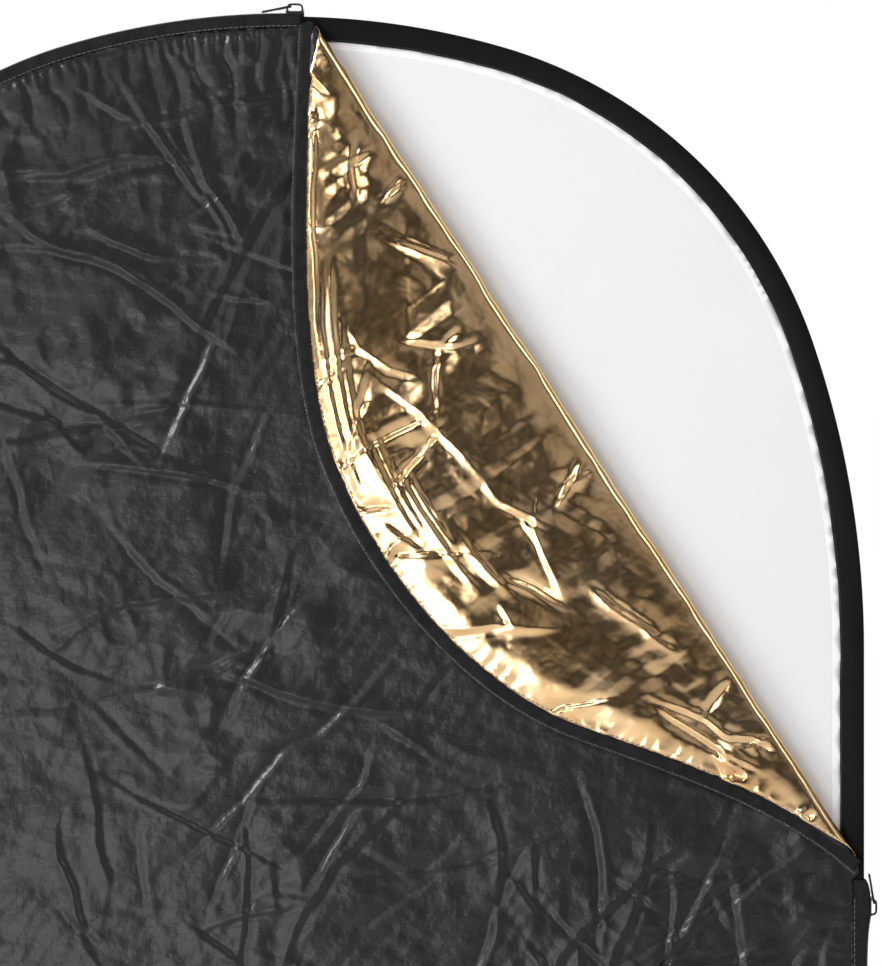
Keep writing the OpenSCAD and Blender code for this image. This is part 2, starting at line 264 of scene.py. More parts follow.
def add_creases(h, x, z, creases, profile, reach):
    """Adds each crease's profile to h, working only on the points near it."""
    for height, width, points in creases:
        p = np.asarray(points, float)
        room = reach * width
        near = np.nonzero((x > p[:, 0].min() - room) & (x < p[:, 0].max() + room)
                          & (z > p[:, 1].min() - room) & (z < p[:, 1].max() + room))[0]
        if len(near) == 0:
            continue
        bend = 1.3 * noise(x[near], z[near], 17, 5)
        signed, share = along_polyline(x[near] + bend, z[near] - bend, p)
        taper = smooth(share, -0.05, 0.40) * smooth(1 - share, -0.05, 0.50)
        h[near] += height * taper * profile(signed, width)
    return h


def sharp_fold(signed, width):
    """A crest with one steep and one gentle side, and a slight dip beyond each."""
    steep, gentle = np.exp(-np.abs(signed) / (0.8 * width)), np.exp(-np.abs(signed) / (2.4 * width))
    dip = 0.3 * np.exp(-((np.abs(signed) - 2.4 * width) / (1.3 * width)) ** 2)
    return np.where(signed > 0, steep - dip, gentle)


def knife_pleat(signed, width):
    """A pleat whose broad side faces one way and whose other side drops steeply."""
    broad, steep = 1 + signed / (1.9 * width), 1 - signed / (0.6 * width)
    return np.clip(np.where(signed < 0, broad, steep), 0, 1) ** 1.1


# ---------------------------------------------------------------- mesh helpers


def fill_mesh(mesh, points, faces):
    """Fast filling for a mesh whose faces all have the same number of corners."""
    count, corners = faces.shape
    mesh.vertices.add(len(points))
    mesh.vertices.foreach_set("co", points.astype(np.float32).ravel())
    mesh.loops.add(count * corners)
    mesh.loops.foreach_set("vertex_index", faces.astype(np.int32).ravel())
    mesh.polygons.add(count)
    mesh.polygons.foreach_set("loop_start", np.arange(0, count * corners, corners, dtype=np.int32))
    mesh.update(calc_edges=True)


def piece(name, shape, slot, stands_for=(), body="frame", outward=False):
    """Makes a mesh piece from points in mm, faces and flat coordinates, gives it its slot's finish
    and rides it on its body."""
    points, faces, uv = shape
    mesh = bpy.data.meshes.new(name)
    if isinstance(faces, np.ndarray):
        fill_mesh(mesh, np.asarray(points) * MM, faces)
    else:
        mesh.from_pydata((np.asarray(points) * MM).tolist(), [], [list(map(int, f)) for f in faces])
    if outward:
        bm = bmesh.new()
        bm.from_mesh(mesh)
        bmesh.ops.recalc_face_normals(bm, faces=bm.faces)
        bm.to_mesh(mesh)
        bm.free()
    index = np.empty(len(mesh.loops), np.int32)
    mesh.loops.foreach_get("vertex_index", index)
    layer = mesh.uv_layers.new(name="flat")
    layer.data.foreach_set("uv", (np.asarray(uv, float)[index] * MM).astype(np.float32).ravel())
    mesh.polygons.foreach_set("use_smooth", [True] * len(mesh.polygons))
    mesh.update()
    obj = bpy.data.objects.new(name, mesh)
    bpy.context.scene.collection.objects.link(obj)
    mesh.materials.append(FINISHES[slot])
    if stands_for:
        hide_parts(*stands_for)
    if body:
        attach(obj, body)
    return obj


def join_parts(parts):
    """Several (points, faces, uv) as one."""
    points, faces, uvs, offset = [], [], [], 0
    for p, f, uv in parts:
        points.append(p)
        uvs.append(uv)
        faces.extend([[i + offset for i in face] for face in f])
        offset += len(p)
    return np.concatenate(points), faces, np.concatenate(uvs)


def loft(stations, closed_path=False):
    """Quads round a closed profile carried along a path. stations is (n, m, 3)."""
    n, m = stations.shape[:2]
    index = np.arange(n * m).reshape(n, m)
    after = np.roll(index, -1, axis=0) if closed_path else index[1:]
    here = index if closed_path else index[:-1]
    quads = np.stack([here, np.roll(here, -1, 1), np.roll(after, -1, 1), after], -1).reshape(-1, 4)
    faces = quads.tolist()
    if not closed_path:
        faces += [index[0][::-1].tolist(), index[-1].tolist()]
    return stations.reshape(-1, 3), faces


def solid(rings, closed_path=False):
    """A lofted part of a slider, with flat coordinates from its plan."""
    points, faces = loft(np.array(rings), closed_path)
    return points, faces, points[:, :2]


def ribbon_ring(centre, thickness):
    """Closed ring of profile points round a centre line (..., k, 2) of the given thickness."""
    centre = np.asarray(centre, float)
    normal = left_of(unit(np.gradient(centre, axis=-2))) * thickness / 2
    return np.concatenate([centre + normal, (centre - normal)[..., ::-1, :]], axis=-2)


def rim_ribbon(s, centre, thickness, closed_path=False):
    """A strip of cloth swept along the rim: points, faces and flat coordinates."""
    ring = ribbon_ring(centre, thickness)
    if ring.ndim == 2:
        ring = np.broadcast_to(ring, (len(s),) + ring.shape)
    points, faces = loft(rim_points(s[:, None], ring[..., 0], ring[..., 1]), closed_path)
    step = np.linalg.norm(np.diff(ring, axis=1, append=ring[:, :1]), axis=2)
    across = np.cumsum(step, axis=1) - step
    uv = np.stack([np.broadcast_to(s[:, None], across.shape), across], -1).reshape(-1, 2)
    return points, faces, uv


def capsule(length, radius, flat=1.0, sides=8):
    """A rounded rod along local x: points and faces."""
    rings = [(-length / 2, 0.35), (-length / 2 + 0.4 * radius, 0.85), (0, 1.0),
             (length / 2 - 0.4 * radius, 0.85), (length / 2, 0.35)]
    points = [[x, radius * k * math.cos(a), flat * radius * k * math.sin(a)]
              for x, k in rings for a in turns(sides)]
    index = np.arange(len(points)).reshape(len(rings), sides)
    faces = [[index[i][j], index[i][(j + 1) % sides], index[i + 1][(j + 1) % sides], index[i + 1][j]]
             for i in range(len(rings) - 1) for j in range(sides)]
    faces += [index[0][::-1].tolist(), index[-1].tolist()]
    return np.array(points), faces


def copies(shape, origins, axes):
    """Copies of a small shape (points, faces) as one shape with flat coordinates. axes is (n, 3, 3):
    the local x, y and z of each copy as rows."""
    points, faces = shape
    placed = origins[:, None, :] + np.einsum("mk,nkj->nmj", points, axes)
    count = len(points)
    every = [[i + k * count for i in f] for k in range(len(origins)) for f in faces]
    uv = placed[..., [0, 2]].reshape(-1, 2)
    return placed.reshape(-1, 3), every, uv


def rim_axes(s):
    """Tangent, outward normal and front direction at s, as (n, 3) arrays."""
    _, _, nx, nz = rim(s)
    zero = np.zeros_like(nx)
    return (np.stack([nz, zero, -nx], 1), np.stack([nx, zero, nz], 1),
            np.stack([zero, zero - 1, zero], 1))


# ---------------------------------------------------------------- cloth sheets


def triangulate(boundary, inner):
    """Triangles of the region inside a boundary, through the inner points."""
    points = np.concatenate([boundary, inner])
    found = delaunay_2d_cdt([Vector(p) for p in points], [], [list(range(len(boundary)))], 1, 1e-5)
    return np.array([tuple(v) for v in found[0]]), np.array([f for f in found[2]])


def grid_points(low, high, spacing, along=(1.0, 0.0)):
    """A staggered grid whose rows run along a direction."""
    along = np.asarray(along, float)
    across = np.array([-along[1], along[0]])
    corners = np.array([[x, z] for z in (low[1], high[1]) for x in (low[0], high[0])])
    a, b = corners @ along, corners @ across
    between = 0.87 * spacing
    rows = np.arange(math.floor(b.min() / between), math.ceil(b.max() / between) + 1)
    columns = np.arange(math.floor(a.min() / spacing), math.ceil(a.max() / spacing) + 1)
    grid_a = (columns[None, :] + 0.5 * (rows[:, None] % 2)) * spacing
    grid_b = np.broadcast_to(rows[:, None] * 0.87 * spacing, grid_a.shape)
    return grid_a.reshape(-1, 1) * along + grid_b.reshape(-1, 1) * across


def inside(points, polygon):
    """Which points lie inside a polygon, by counting crossings."""
    x, y = points[:, 0], points[:, 1]
    odd = np.zeros(len(points), bool)
    polygon = polygon[::3]
    previous = polygon[-1]
    for vertex in polygon:
        if previous[1] != vertex[1]:
            crosses = (vertex[1] > y) != (previous[1] > y)
            at = (previous[0] - vertex[0]) * (y - vertex[1]) / (previous[1] - vertex[1]) + vertex[0]
            odd ^= crosses & (x < at)
        previous = vertex
    return odd


def clear_of(points, polygon, gap):
    """Which points are at least gap from a polygon's vertices, which stand closer than that."""
    tree = KDTree(len(polygon))
    for i, (x, z) in enumerate(polygon):
        tree.insert((x, z, 0), i)
    tree.balance()
    return np.array([tree.find((x, z, 0))[2] > gap for x, z in points.tolist()])


def resample(points, step):
    """A closed polygon with its vertices about step apart."""
    closed = np.concatenate([points, points[:1]])
    length = run_lengths(closed)[-1]
    return walk(closed, np.linspace(0, length, int(length / step) + 1)[:-1])


def vertex_normals(points, triangles):
    a, b, c = (points[triangles[:, i]] for i in range(3))
    flat = np.cross(b - a, c - a)
    total = np.zeros_like(points)
    for i in range(3):
        np.add.at(total, triangles[:, i], flat)
    return total / np.maximum(np.linalg.norm(total, axis=1, keepdims=True), 1e-12)


def thicken(points, triangles, thickness):
    """A thin solid from a sheet: both faces and the cut edge, all as triangles."""
    normal = vertex_normals(points, triangles) * thickness / 2
    n = len(points)
    edges = np.concatenate([triangles[:, [0, 1]], triangles[:, [1, 2]], triangles[:, [2, 0]]])
    key = np.sort(edges, axis=1)
    _, first, count = np.unique(key[:, 0] * n + key[:, 1], return_index=True, return_counts=True)
    rim_edges = edges[first[count == 1]]
    a, b = rim_edges[:, 0], rim_edges[:, 1]
    walls = np.concatenate([np.stack([b, a, a + n], 1), np.stack([b, a + n, b + n], 1)])
    faces = np.concatenate([triangles, triangles[:, ::-1] + n, walls])
    return np.concatenate([points + normal, points - normal]), faces


def outline_inset(inset, step):
    """The oval moved in by inset, counter-clockwise from the front."""
    return rim_inset(np.arange(0, ROUND, step)[::-1], inset)


def rim_coordinates(x, z):
    """Distance in from the outline and arc length along it, for points of the plane."""
    step, chunk = 8, 10000
    table = OUTLINE[::step, :2].astype(np.float32)
    depth, s = np.empty(len(x)), np.empty(len(x))
    for start in range(0, len(x), chunk):
        part = slice(start, start + chunk)
        p = np.stack([x[part], z[part]], 1).astype(np.float32)
        nearest = ((p[:, None, :] - table[None]) ** 2).sum(2).argmin(1) * step
        base = OUTLINE[nearest]
        off = p - base[:, :2]
        depth[part] = -(off * base[:, 2:]).sum(1)
        s[part] = OUTLINE_S[nearest] + off[:, 0] * base[:, 3] - off[:, 1] * base[:, 2]
    return depth, s


# ---------------------------------------------------------------- where the creases run

# Creases are worked out from the free edge, the fold line and a seed; none is placed by itself.
# Each is a row: height, width and the points it runs through.
EDGE_STEP = 15            # a pinched place at every so many points of the free edge
PULL_INSET, PULL_ARMS, PULL_ARM = 12.0, 3, 150.0
STAR_ARMS, STAR_ARM = 4, 0.75     # an arm's length as a share of the flap's width
PLEAT_COUNT, PLEAT_INSET, PLEAT_STEP, PLEAT_CLEAR = 9, 9.0, 4.4, 8.0


def wander(rng, x, z, heading, length, sway):
    """Points of a line that strays a little from its heading, in about 17 mm steps."""
    points, count = [(x, z)], max(2, round(length / 17))
    for _ in range(count):
        heading += rng.normal(0, sway)
        x, z = x + length / count * math.cos(heading), z + length / count * math.sin(heading)
        points.append((x, z))
    return points


def spray(rng, x, z, heading, spread, arms, length):
    """Creases that leave one pinched place within a spread of headings, each with a side branch."""
    rows = []
    for _ in range(arms):
        way, start = heading + rng.uniform(-spread, spread), length * rng.uniform(0.02, 0.4)
        size, height = length * rng.uniform(0.35, 1.2), rng.choice([-1, 1]) * rng.uniform(0.9, 1.7)
        arm = wander(rng, x + start * math.cos(way), z + start * math.sin(way), way, size, 0.13)
        rows.append((height, rng.uniform(1.1, 1.8), arm))
        turn = rng.choice([-1, 1]) * rng.uniform(0.3, 0.8)
        branch = wander(rng, *arm[len(arm) // 2], way + turn, 0.45 * size, 0.13)
        rows.append((0.7 * height, 1.2, branch))
    return rows


def pull_creases(seed):
    """Creases of the cover that start where the zip pulls at its cloth, all along the free edge."""
    rng = np.random.default_rng(seed)
    rows = []
    near, far = free_edge(-PULL_INSET)[::EDGE_STEP], free_edge(-PULL_INSET - 1)[::EDGE_STEP]
    for (x, z), (far_x, far_z) in zip(near, far):
        away = math.atan2(far_z - z, far_x - x)
        rows += spray(rng, x, z, away, 0.9, PULL_ARMS, PULL_ARM)
    return rows


def star_creases(seed):
    """Stars of creases on the folded flap, sized by its width between free edge and fold line."""
    rng = np.random.default_rng(seed)
    rows = []
    for x, z in free_edge()[EDGE_STEP:-EDGE_STEP:EDGE_STEP]:
        width = before_fold(x, z)
        share = rng.uniform(0.35, 0.85)
        x, z = x + share * width * FOLD_N[0], z + share * width * FOLD_N[1]
        rows += spray(rng, x, z, rng.uniform(0, 2 * math.pi), 2.4, STAR_ARMS, STAR_ARM * width)
    return rows


def scattered_creases(seed, count):
    """Fine creases in no order, over the whole cloth."""
    rng = np.random.default_rng(seed)
    rows = []
    for _ in range(count):
        x, z, heading = rng.uniform(-290, 290), rng.uniform(-440, 440), rng.uniform(0, 2 * math.pi)
        points = wander(rng, x, z, heading, 30 + 110 * rng.random() ** 2, 0.12)
        rows.append((rng.choice([-1, 1]) * rng.uniform(0.4, 1.3), rng.uniform(0.9, 1.7), points))
    return rows


def edge_pleats(seed):
    """Pleats of the gathered edge, side by side, each over its own stretch and clear of the fold."""
    rng = np.random.default_rng(seed)
    rows = []
    for i in range(PLEAT_COUNT):
        line = free_edge(PLEAT_INSET + i * PLEAT_STEP + rng.uniform(-1, 1))
        line = line[before_fold(*line.T) > PLEAT_CLEAR]
        first = int((0.05 * i + rng.uniform(0, 0.12)) * len(line))
        last = first + int(rng.uniform(0.14, 0.30) * len(line))
        rows.append((rng.uniform(1.6, 2.9), rng.uniform(2.0, 3.3), line[first:last:5]))
    return rows


# ---------------------------------------------------------------- materials


class Nodes:
    """Adds nodes to a node tree. An input is a socket to link from, or a plain value."""

    def __init__(self, tree):
        self.tree = tree

    def node(self, kind, inputs=None, **settings):
        node = self.tree.nodes.new(kind)
        for key, value in settings.items():
            setattr(node, key, value)
        for key, value in (inputs or {}).items():
            if isinstance(value, bpy.types.NodeSocket):
                self.tree.links.new(value, node.inputs[key])
            else:
                node.inputs[key].default_value = value
        return node


class Finish(Nodes):
    """A material with a Principled shader. Constant values go straight onto the shader's sockets."""

    def __init__(self, name, **values):
        self.material = bpy.data.materials.new(name + "_finish")
        self.material.use_nodes = True
        super().__init__(self.material.node_tree)
        self.shader = self.tree.nodes["Principled BSDF"]
        for socket, value in values.items():
            self.shader.inputs[socket.replace("_", " ")].default_value = value

    def flat(self):
        """Flat coordinates along the cloth, in metres."""
        return self.node("ShaderNodeUVMap", uv_map="flat").outputs["UV"]

    def solid(self):
        return self.node("ShaderNodeTexCoord").outputs["Object"]

    def stretched(self, vector, scale):
        return self.node("ShaderNodeMapping", {"Vector": vector, "Scale": scale}).outputs["Vector"]

    def noise(self, vector, size, detail=3.0, roughness=0.5, distortion=0.0):
        node = self.node("ShaderNodeTexNoise", {"Vector": vector, "Scale": 1 / size, "Detail": detail,
                                                "Roughness": roughness, "Distortion": distortion})
        return node.outputs["Fac"]

    def cells(self, vector, size, feature="F1"):
        node = self.node("ShaderNodeTexVoronoi", {"Vector": vector, "Scale": 1 / size}, feature=feature)
        return node.outputs["Distance"]

    def wave(self, vector, pitch, direction, distortion=0.0):
        node = self.node("ShaderNodeTexWave", {"Vector": vector, "Scale": 0.314 / pitch,
                                               "Distortion": distortion, "Detail": 1.0},
                         bands_direction=direction)
        return node.outputs["Fac"]

    def math(self, operation, a, b=0.5):
        return self.node("ShaderNodeMath", {0: a, 1: b}, operation=operation).outputs[0]

    def mixed(self, a, b, share):
        """A share of a and the rest of b."""
        return self.math("ADD", self.math("MULTIPLY", a, share), self.math("MULTIPLY", b, 1 - share))

    def weave(self, vector, pitch):
        """Plain weave: warp and weft threads crossing."""
        return self.math("MULTIPLY", self.wave(vector, pitch, "X"), self.wave(vector, pitch, "Y"))

    def ramp(self, factor, low, high, start=0.3, end=0.7):
        node = self.node("ShaderNodeValToRGB", {"Fac": factor})
        node.color_ramp.elements[0].position = start
        node.color_ramp.elements[1].position = end
        node.color_ramp.elements[0].color = (*low, 1)
        node.color_ramp.elements[1].color = (*high, 1)
        return node.outputs["Color"]

    def spread(self, factor, low, high):
        node = self.node("ShaderNodeMapRange", {"Value": factor, "To Min": low, "To Max": high})
        return node.outputs["Result"]

    def bump(self, height, distance, strength=1.0, under=None):
        inputs = {"Height": height, "Distance": distance, "Strength": strength}
        if under is not None:
            inputs["Normal"] = under
        return self.node("ShaderNodeBump", inputs).outputs["Normal"]

    def to(self, socket, value):
        self.tree.links.new(value, self.shader.inputs[socket])


def black_taffeta():
    f = Finish("black_taffeta", Roughness=0.42, Sheen_Weight=0.04, Sheen_Roughness=0.4,
               Specular_IOR_Level=0.41)
    flat = f.flat()
    tone = f.noise(flat, 0.035, 4, 0.6)
    slub = f.noise(f.stretched(flat, (1, 14, 1)), 0.006, 2)
    f.to("Base Color", f.ramp(f.mixed(tone, slub, 0.6), (0.006, 0.006, 0.0067),
                              (0.013, 0.0127, 0.0138), 0.25, 0.75))
    f.to("Roughness", f.spread(tone, 0.28, 0.38))
    crumple = f.noise(flat, 0.012, 3, 0.5)
    broad = f.bump(crumple, 0.0014, 0.8)
    creases = f.bump(f.cells(f.stretched(flat, (1, 0.55, 1)), 0.016, "DISTANCE_TO_EDGE"), 0.0005, 0.15, broad)
    f.to("Normal", f.bump(f.weave(flat, 0.0009), 0.00006, 0.5, creases))
    return f.material


def gold_foil():
    f = Finish("gold_foil", Metallic=1.0, Roughness=0.14)
    flat = f.flat()
    tone = f.noise(flat, 0.03, 3)
    f.to("Base Color", f.ramp(tone, (0.80, 0.50, 0.23), (0.92, 0.64, 0.36)))
    rub = f.noise(flat, 0.004, 4, 0.65)
    f.to("Roughness", f.spread(rub, 0.09, 0.2))
    soft = f.bump(f.noise(flat, 0.011, 2, 0.5), 0.0008, 0.35)
    crackle = f.bump(f.cells(flat, 0.006, "DISTANCE_TO_EDGE"), 0.0001, 0.1, soft)
    f.to("Normal", f.bump(f.weave(flat, 0.0007), 0.00002, 0.5, crackle))
    return f.material


def silver_foil():
    f = Finish("silver_foil", Metallic=1.0, Roughness=0.24)
    flat = f.flat()
    f.to("Base Color", f.ramp(f.noise(flat, 0.04, 3), (0.66, 0.67, 0.69), (0.80, 0.81, 0.83)))
    f.to("Roughness", f.spread(f.noise(flat, 0.005, 4, 0.65), 0.18, 0.34))
    soft = f.bump(f.noise(flat, 0.010, 3, 0.55, 0.5), 0.0009, 0.5)
    crackle = f.bump(f.cells(flat, 0.005, "DISTANCE_TO_EDGE"), 0.00015, 0.35, soft)
    f.to("Normal", f.bump(f.weave(flat, 0.0007), 0.00002, 0.5, crackle))
    return f.material


def white_taffeta():
    f = Finish("white_taffeta", Roughness=0.75, Sheen_Weight=0.2)
    flat = f.flat()
    f.to("Base Color", f.ramp(f.noise(flat, 0.03, 3), (0.84, 0.84, 0.85), (0.90, 0.90, 0.90)))
    f.to("Normal", f.bump(f.weave(flat, 0.0008), 0.00005, 0.5, f.bump(f.noise(flat, 0.012, 3), 0.0006, 0.4)))
    return f.material


def diffuser_cloth():
    f = Finish("diffuser_cloth", Roughness=0.7, Sheen_Weight=0.1, Specular_IOR_Level=0.2)
    flat = f.flat()
    threads = f.noise(f.stretched(flat, (1, 30, 1)), 0.004, 2)
    tone = f.mixed(f.noise(flat, 0.05, 2), threads, 0.5)
    f.to("Base Color", f.ramp(tone, (0.80, 0.797, 0.803), (0.82, 0.817, 0.823)))
    f.to("Normal", f.bump(f.weave(flat, 0.0006), 0.00003, 0.4))
    return f.material


def hem_cloth():
    f = Finish("hem_cloth", Roughness=0.7, Sheen_Weight=0.1, Specular_IOR_Level=0.2)
    flat = f.flat()
    f.to("Base Color", f.ramp(f.noise(flat, 0.012, 3), (0.90, 0.89, 0.90), (0.96, 0.95, 0.96)))
    f.to("Normal", f.bump(f.weave(flat, 0.0006), 0.00004, 0.4))
    return f.material


def sleeve_satin():
    f = Finish("sleeve_satin", Roughness=0.45, Anisotropic=0.5, Specular_IOR_Level=0.07)
    flat = f.flat()
    threads = f.noise(f.stretched(flat, (1, 18, 1)), 0.003, 2)
    f.to("Base Color", f.ramp(threads, (0.003, 0.003, 0.0035), (0.008, 0.008, 0.0085)))
    f.to("Roughness", f.spread(f.noise(flat, 0.008, 3), 0.36, 0.5))
    pucker = f.bump(f.noise(f.stretched(flat, (1, 0.5, 1)), 0.006, 3), 0.0005, 0.4)
    f.to("Normal", f.bump(f.wave(flat, 0.0006, "Y", 0.6), 0.00004, 0.6, pucker))
    return f.material


def zip_tape():
    f = Finish("zip_tape", Roughness=0.62, Specular_IOR_Level=0.12)
    flat = f.flat()
    ribs = f.wave(flat, 0.0008, "Y")
    tone = f.noise(flat, 0.006, 3)
    f.to("Base Color", f.ramp(tone, (0.007, 0.007, 0.0075), (0.016, 0.016, 0.0165)))
    f.to("Roughness", f.spread(ribs, 0.55, 0.7))
    herring = f.wave(f.stretched(flat, (1, 1, 1)), 0.0011, "DIAGONAL")
    f.to("Normal", f.bump(herring, 0.00008, 0.6, f.bump(ribs, 0.00012, 0.6)))
    return f.material


def zip_coil():
    f = Finish("zip_coil", Roughness=0.3, Coat_Weight=0.2)
    solid = f.solid()
    f.to("Base Color", f.ramp(f.noise(solid, 0.004, 2), (0.03, 0.03, 0.031), (0.075, 0.075, 0.077)))
    f.to("Roughness", f.spread(f.noise(solid, 0.002, 2), 0.22, 0.36))
    return f.material


def thread(name, dark, light):
    f = Finish(name, Roughness=0.6, Sheen_Weight=0.3)
    solid = f.solid()
    f.to("Base Color", f.ramp(f.noise(solid, 0.003, 2), dark, light))
    f.to("Normal", f.bump(f.wave(solid, 0.0004, "DIAGONAL"), 0.00005, 0.6))
    return f.material


def tab_cloth():
    f = Finish("tab_cloth", Roughness=0.6, Sheen_Weight=0.25)
    flat = f.flat()
    f.to("Base Color", f.ramp(f.noise(flat, 0.003, 3), (0.012, 0.012, 0.013), (0.03, 0.03, 0.031)))
    f.to("Normal", f.bump(f.weave(flat, 0.0009), 0.0001, 0.7))
    return f.material


def enamel(name, dark, light, bare):
    """Enamel over die-cast metal, rubbed through in small spots and along raised edges."""
    f = Finish(name, Roughness=0.4, Specular_IOR_Level=0.2)
    solid = f.solid()
    wear = f.noise(solid, 0.0016, 4, 0.7)
    edge = f.node("ShaderNodeNewGeometry").outputs["Pointiness"]
    worn = f.math("MULTIPLY", f.spread(wear, 0.0, 1.0), f.node(
        "ShaderNodeMapRange", {"Value": edge, "From Min": 0.6, "From Max": 0.8}).outputs["Result"])
    tone = f.ramp(wear, dark, light, 0.35, 0.7)
    mix = f.node("ShaderNodeMixRGB", {"Fac": worn, "Color1": tone, "Color2": (*bare, 1)})
    f.to("Base Color", mix.outputs["Color"])
    f.to("Metallic", worn)
    f.to("Roughness", f.spread(wear, 0.34, 0.5))
    f.to("Normal", f.bump(f.noise(solid, 0.0007, 3), 0.00006, 0.5))
    return f.material


def steel(name, dark, light, brush):
    f = Finish(name, Metallic=1.0, Roughness=0.32, Anisotropic=0.4)
    solid = f.solid()
    lines = f.noise(f.stretched(solid, brush), 0.002, 3)
    f.to("Base Color", f.ramp(lines, dark, light))
    f.to("Roughness", f.spread(lines, 0.24, 0.42))
    f.to("Normal", f.bump(lines, 0.00003, 0.5))
    return f.material


def floor_paper():
    f = Finish("floor_paper", Roughness=0.85)
    solid = f.solid()
    f.to("Base Color", f.ramp(f.noise(solid, 0.4, 3), (0.84, 0.84, 0.84), (0.88, 0.88, 0.88)))
    return f.material


FINISHES = {
    "black_taffeta": black_taffeta(),
    "gold_foil": gold_foil(),
    "silver_foil": silver_foil(),
    "white_taffeta": white_taffeta(),
    "diffuser_cloth": diffuser_cloth(),
    "hem_cloth": hem_cloth(),
    "sleeve_satin": sleeve_satin(),
    "zip_tape": zip_tape(),
    "zip_coil": zip_coil(),
    "tab_cloth": tab_cloth(),
    "black_thread": thread("black_thread", (0.015, 0.015, 0.016), (0.035, 0.035, 0.036)),
    "grey_thread": thread("grey_thread", (0.09, 0.09, 0.092), (0.16, 0.16, 0.162)),
    "slider_metal": enamel("slider_metal", (0.012, 0.012, 0.013), (0.03, 0.03, 0.031), (0.45, 0.44, 0.42)),
    "pull_metal": enamel("pull_metal", (0.014, 0.014, 0.015), (0.035, 0.035, 0.036), (0.5, 0.49, 0.47)),
    "stop_metal": steel("stop_metal", (0.05, 0.05, 0.052), (0.12, 0.12, 0.122), (1, 1, 1)),
    "spring_steel": steel("spring_steel", (0.30, 0.32, 0.36), (0.50, 0.52, 0.56), (1, 12, 1)),
    "ferrule_steel": steel("ferrule_steel", (0.55, 0.55, 0.56), (0.74, 0.74, 0.75), (1, 1, 8)),
}

# ---------------------------------------------------------------- cover cloth and its fold


def bezier(p, t):
    p, t = np.asarray(p, float), t[:, None]
    return (1 - t) ** 3 * p[0] + 3 * (1 - t) ** 2 * t * p[1] + 3 * (1 - t) * t * t * p[2] + t ** 3 * p[3]


def free_edge(inset=0.0, count=60):
    """The folded flap's free edge as seen from the front, from the top slider to the side."""
    t = np.linspace(0, 1, count, endpoint=False)
    line = np.concatenate([bezier(c, t) for c in FREE_EDGE_CURVES] + [[FREE_EDGE_CURVES[2][3]]])
    return line + inset * left_of(unit(np.gradient(line, axis=0)))


def before_fold(x, z):
    """Distance from the fold line, positive on the panel's side."""
    return FOLD_DIST - x * FOLD_N[0] - z * FOLD_N[1]


FREE_EDGE = free_edge(count=16)
COVER_CREASES = pull_creases(7) + scattered_creases(7, 190)
BACK_CREASES = scattered_creases(8, 150)
FLAP_CREASES = star_creases(9)
FLAP_PLEATS = edge_pleats(10)


def lean(e, v, tilt):
    """Distance before the fold line and height v, after a turn about the fold's hinge line."""
    rise = v - FOLD_V
    return e * np.cos(tilt) + rise * np.sin(tilt), FOLD_V + rise * np.cos(tilt) - e * np.sin(tilt)


def roll_half(level):
    """Half the cloth that the roll at the fold takes up, for cloth that lies at a level."""
    return math.pi / 2 * (FOLD_V - level)


def leaned(x, z, v):
    """A point of the folded flap after it leans back about the fold's hinge line."""
    e = before_fold(x, z)
    new_e, new_v = lean(e, v, FLAP_TILT)
    return np.stack([x + (e - new_e) * FOLD_N[0], -new_v, z + (e - new_e) * FOLD_N[1]], -1)


def under_flap(x, z):
    """1 where the folded flap lies over the panel, 0 elsewhere."""
    signed, _ = along_polyline(x, z, FREE_EDGE)
    return smooth(signed, -3, 8) * (before_fold(x, z) > 0)


def rim_gathers(depth, s, seed):
    """Gathers that run in from the tape: fine ones at the seam, longer ones further in."""
    slip = 2.2 * noise(s, depth, 16, seed) + 5 * noise(s, depth, 60, seed + 1)
    fine = np.abs(np.sin(np.pi * (s + slip) / 5.6)) ** 0.8 - 0.15
    broad = np.abs(np.sin(np.pi * (s + 2.2 * slip) / 15.0)) ** 0.7 - 0.25
    strength = 0.75 + 0.5 * wobble(s, 45, seed + 2)
    length = 20 + 9 * wobble(s, 22, seed + 3)
    fine_env = smooth(depth, 7.0, 9.5) * smooth(1 - depth / length, 0, 0.55)
    broad_env = smooth(depth, 8, 14) * smooth(1 - depth / (3.0 * length), 0, 0.6)
    return strength * (1.9 * fine * fine_env + 1.7 * broad * broad_env)


def cover_relief(x, z):
    """Height of the cover's folds and creases, towards the viewer, in mm."""
    depth, s = rim_coordinates(x, z)
    busy = smooth(noise(x, z, 75, 24), -0.5, 0.4)
    creases = add_creases(np.zeros_like(x), x, z, COVER_CREASES, sharp_fold, 9)
    h = 1.0 * noise(x, z, 85, 21) + 0.6 * noise(x, z, 34, 22) + 0.2 * noise(x, z, 13, 23)
    h += 0.8 * ridges(x, z, 62, 31) * busy + 0.5 * ridges(x, z, 26, 33) * (0.35 + 0.65 * busy)
    h += 1.05 * facets(x, z, 29, 5) * busy + 0.25 * facets(x, z, 12, 6) + 1.6 * creases
    h += 0.3 * ridges(x, z, 15, 34) * smooth(noise(x, z, 48, 25), -0.2, 0.5)
    h = h * smooth(depth, 7, 26) + rim_gathers(depth, s, 61)
    h -= 0.7 * np.exp(-((depth - 7.9) / 1.0) ** 2)
    h = np.where(h > 0, 4.2 * np.tanh(h / 4.2), 2.7 * np.tanh(h / 2.7))
    flap = under_flap(x, z)
    h = h * (1 - 0.9 * flap) - 0.5 * flap * smooth(depth, 7, 20)
    return h * smooth(before_fold(x, z), 2, 16)


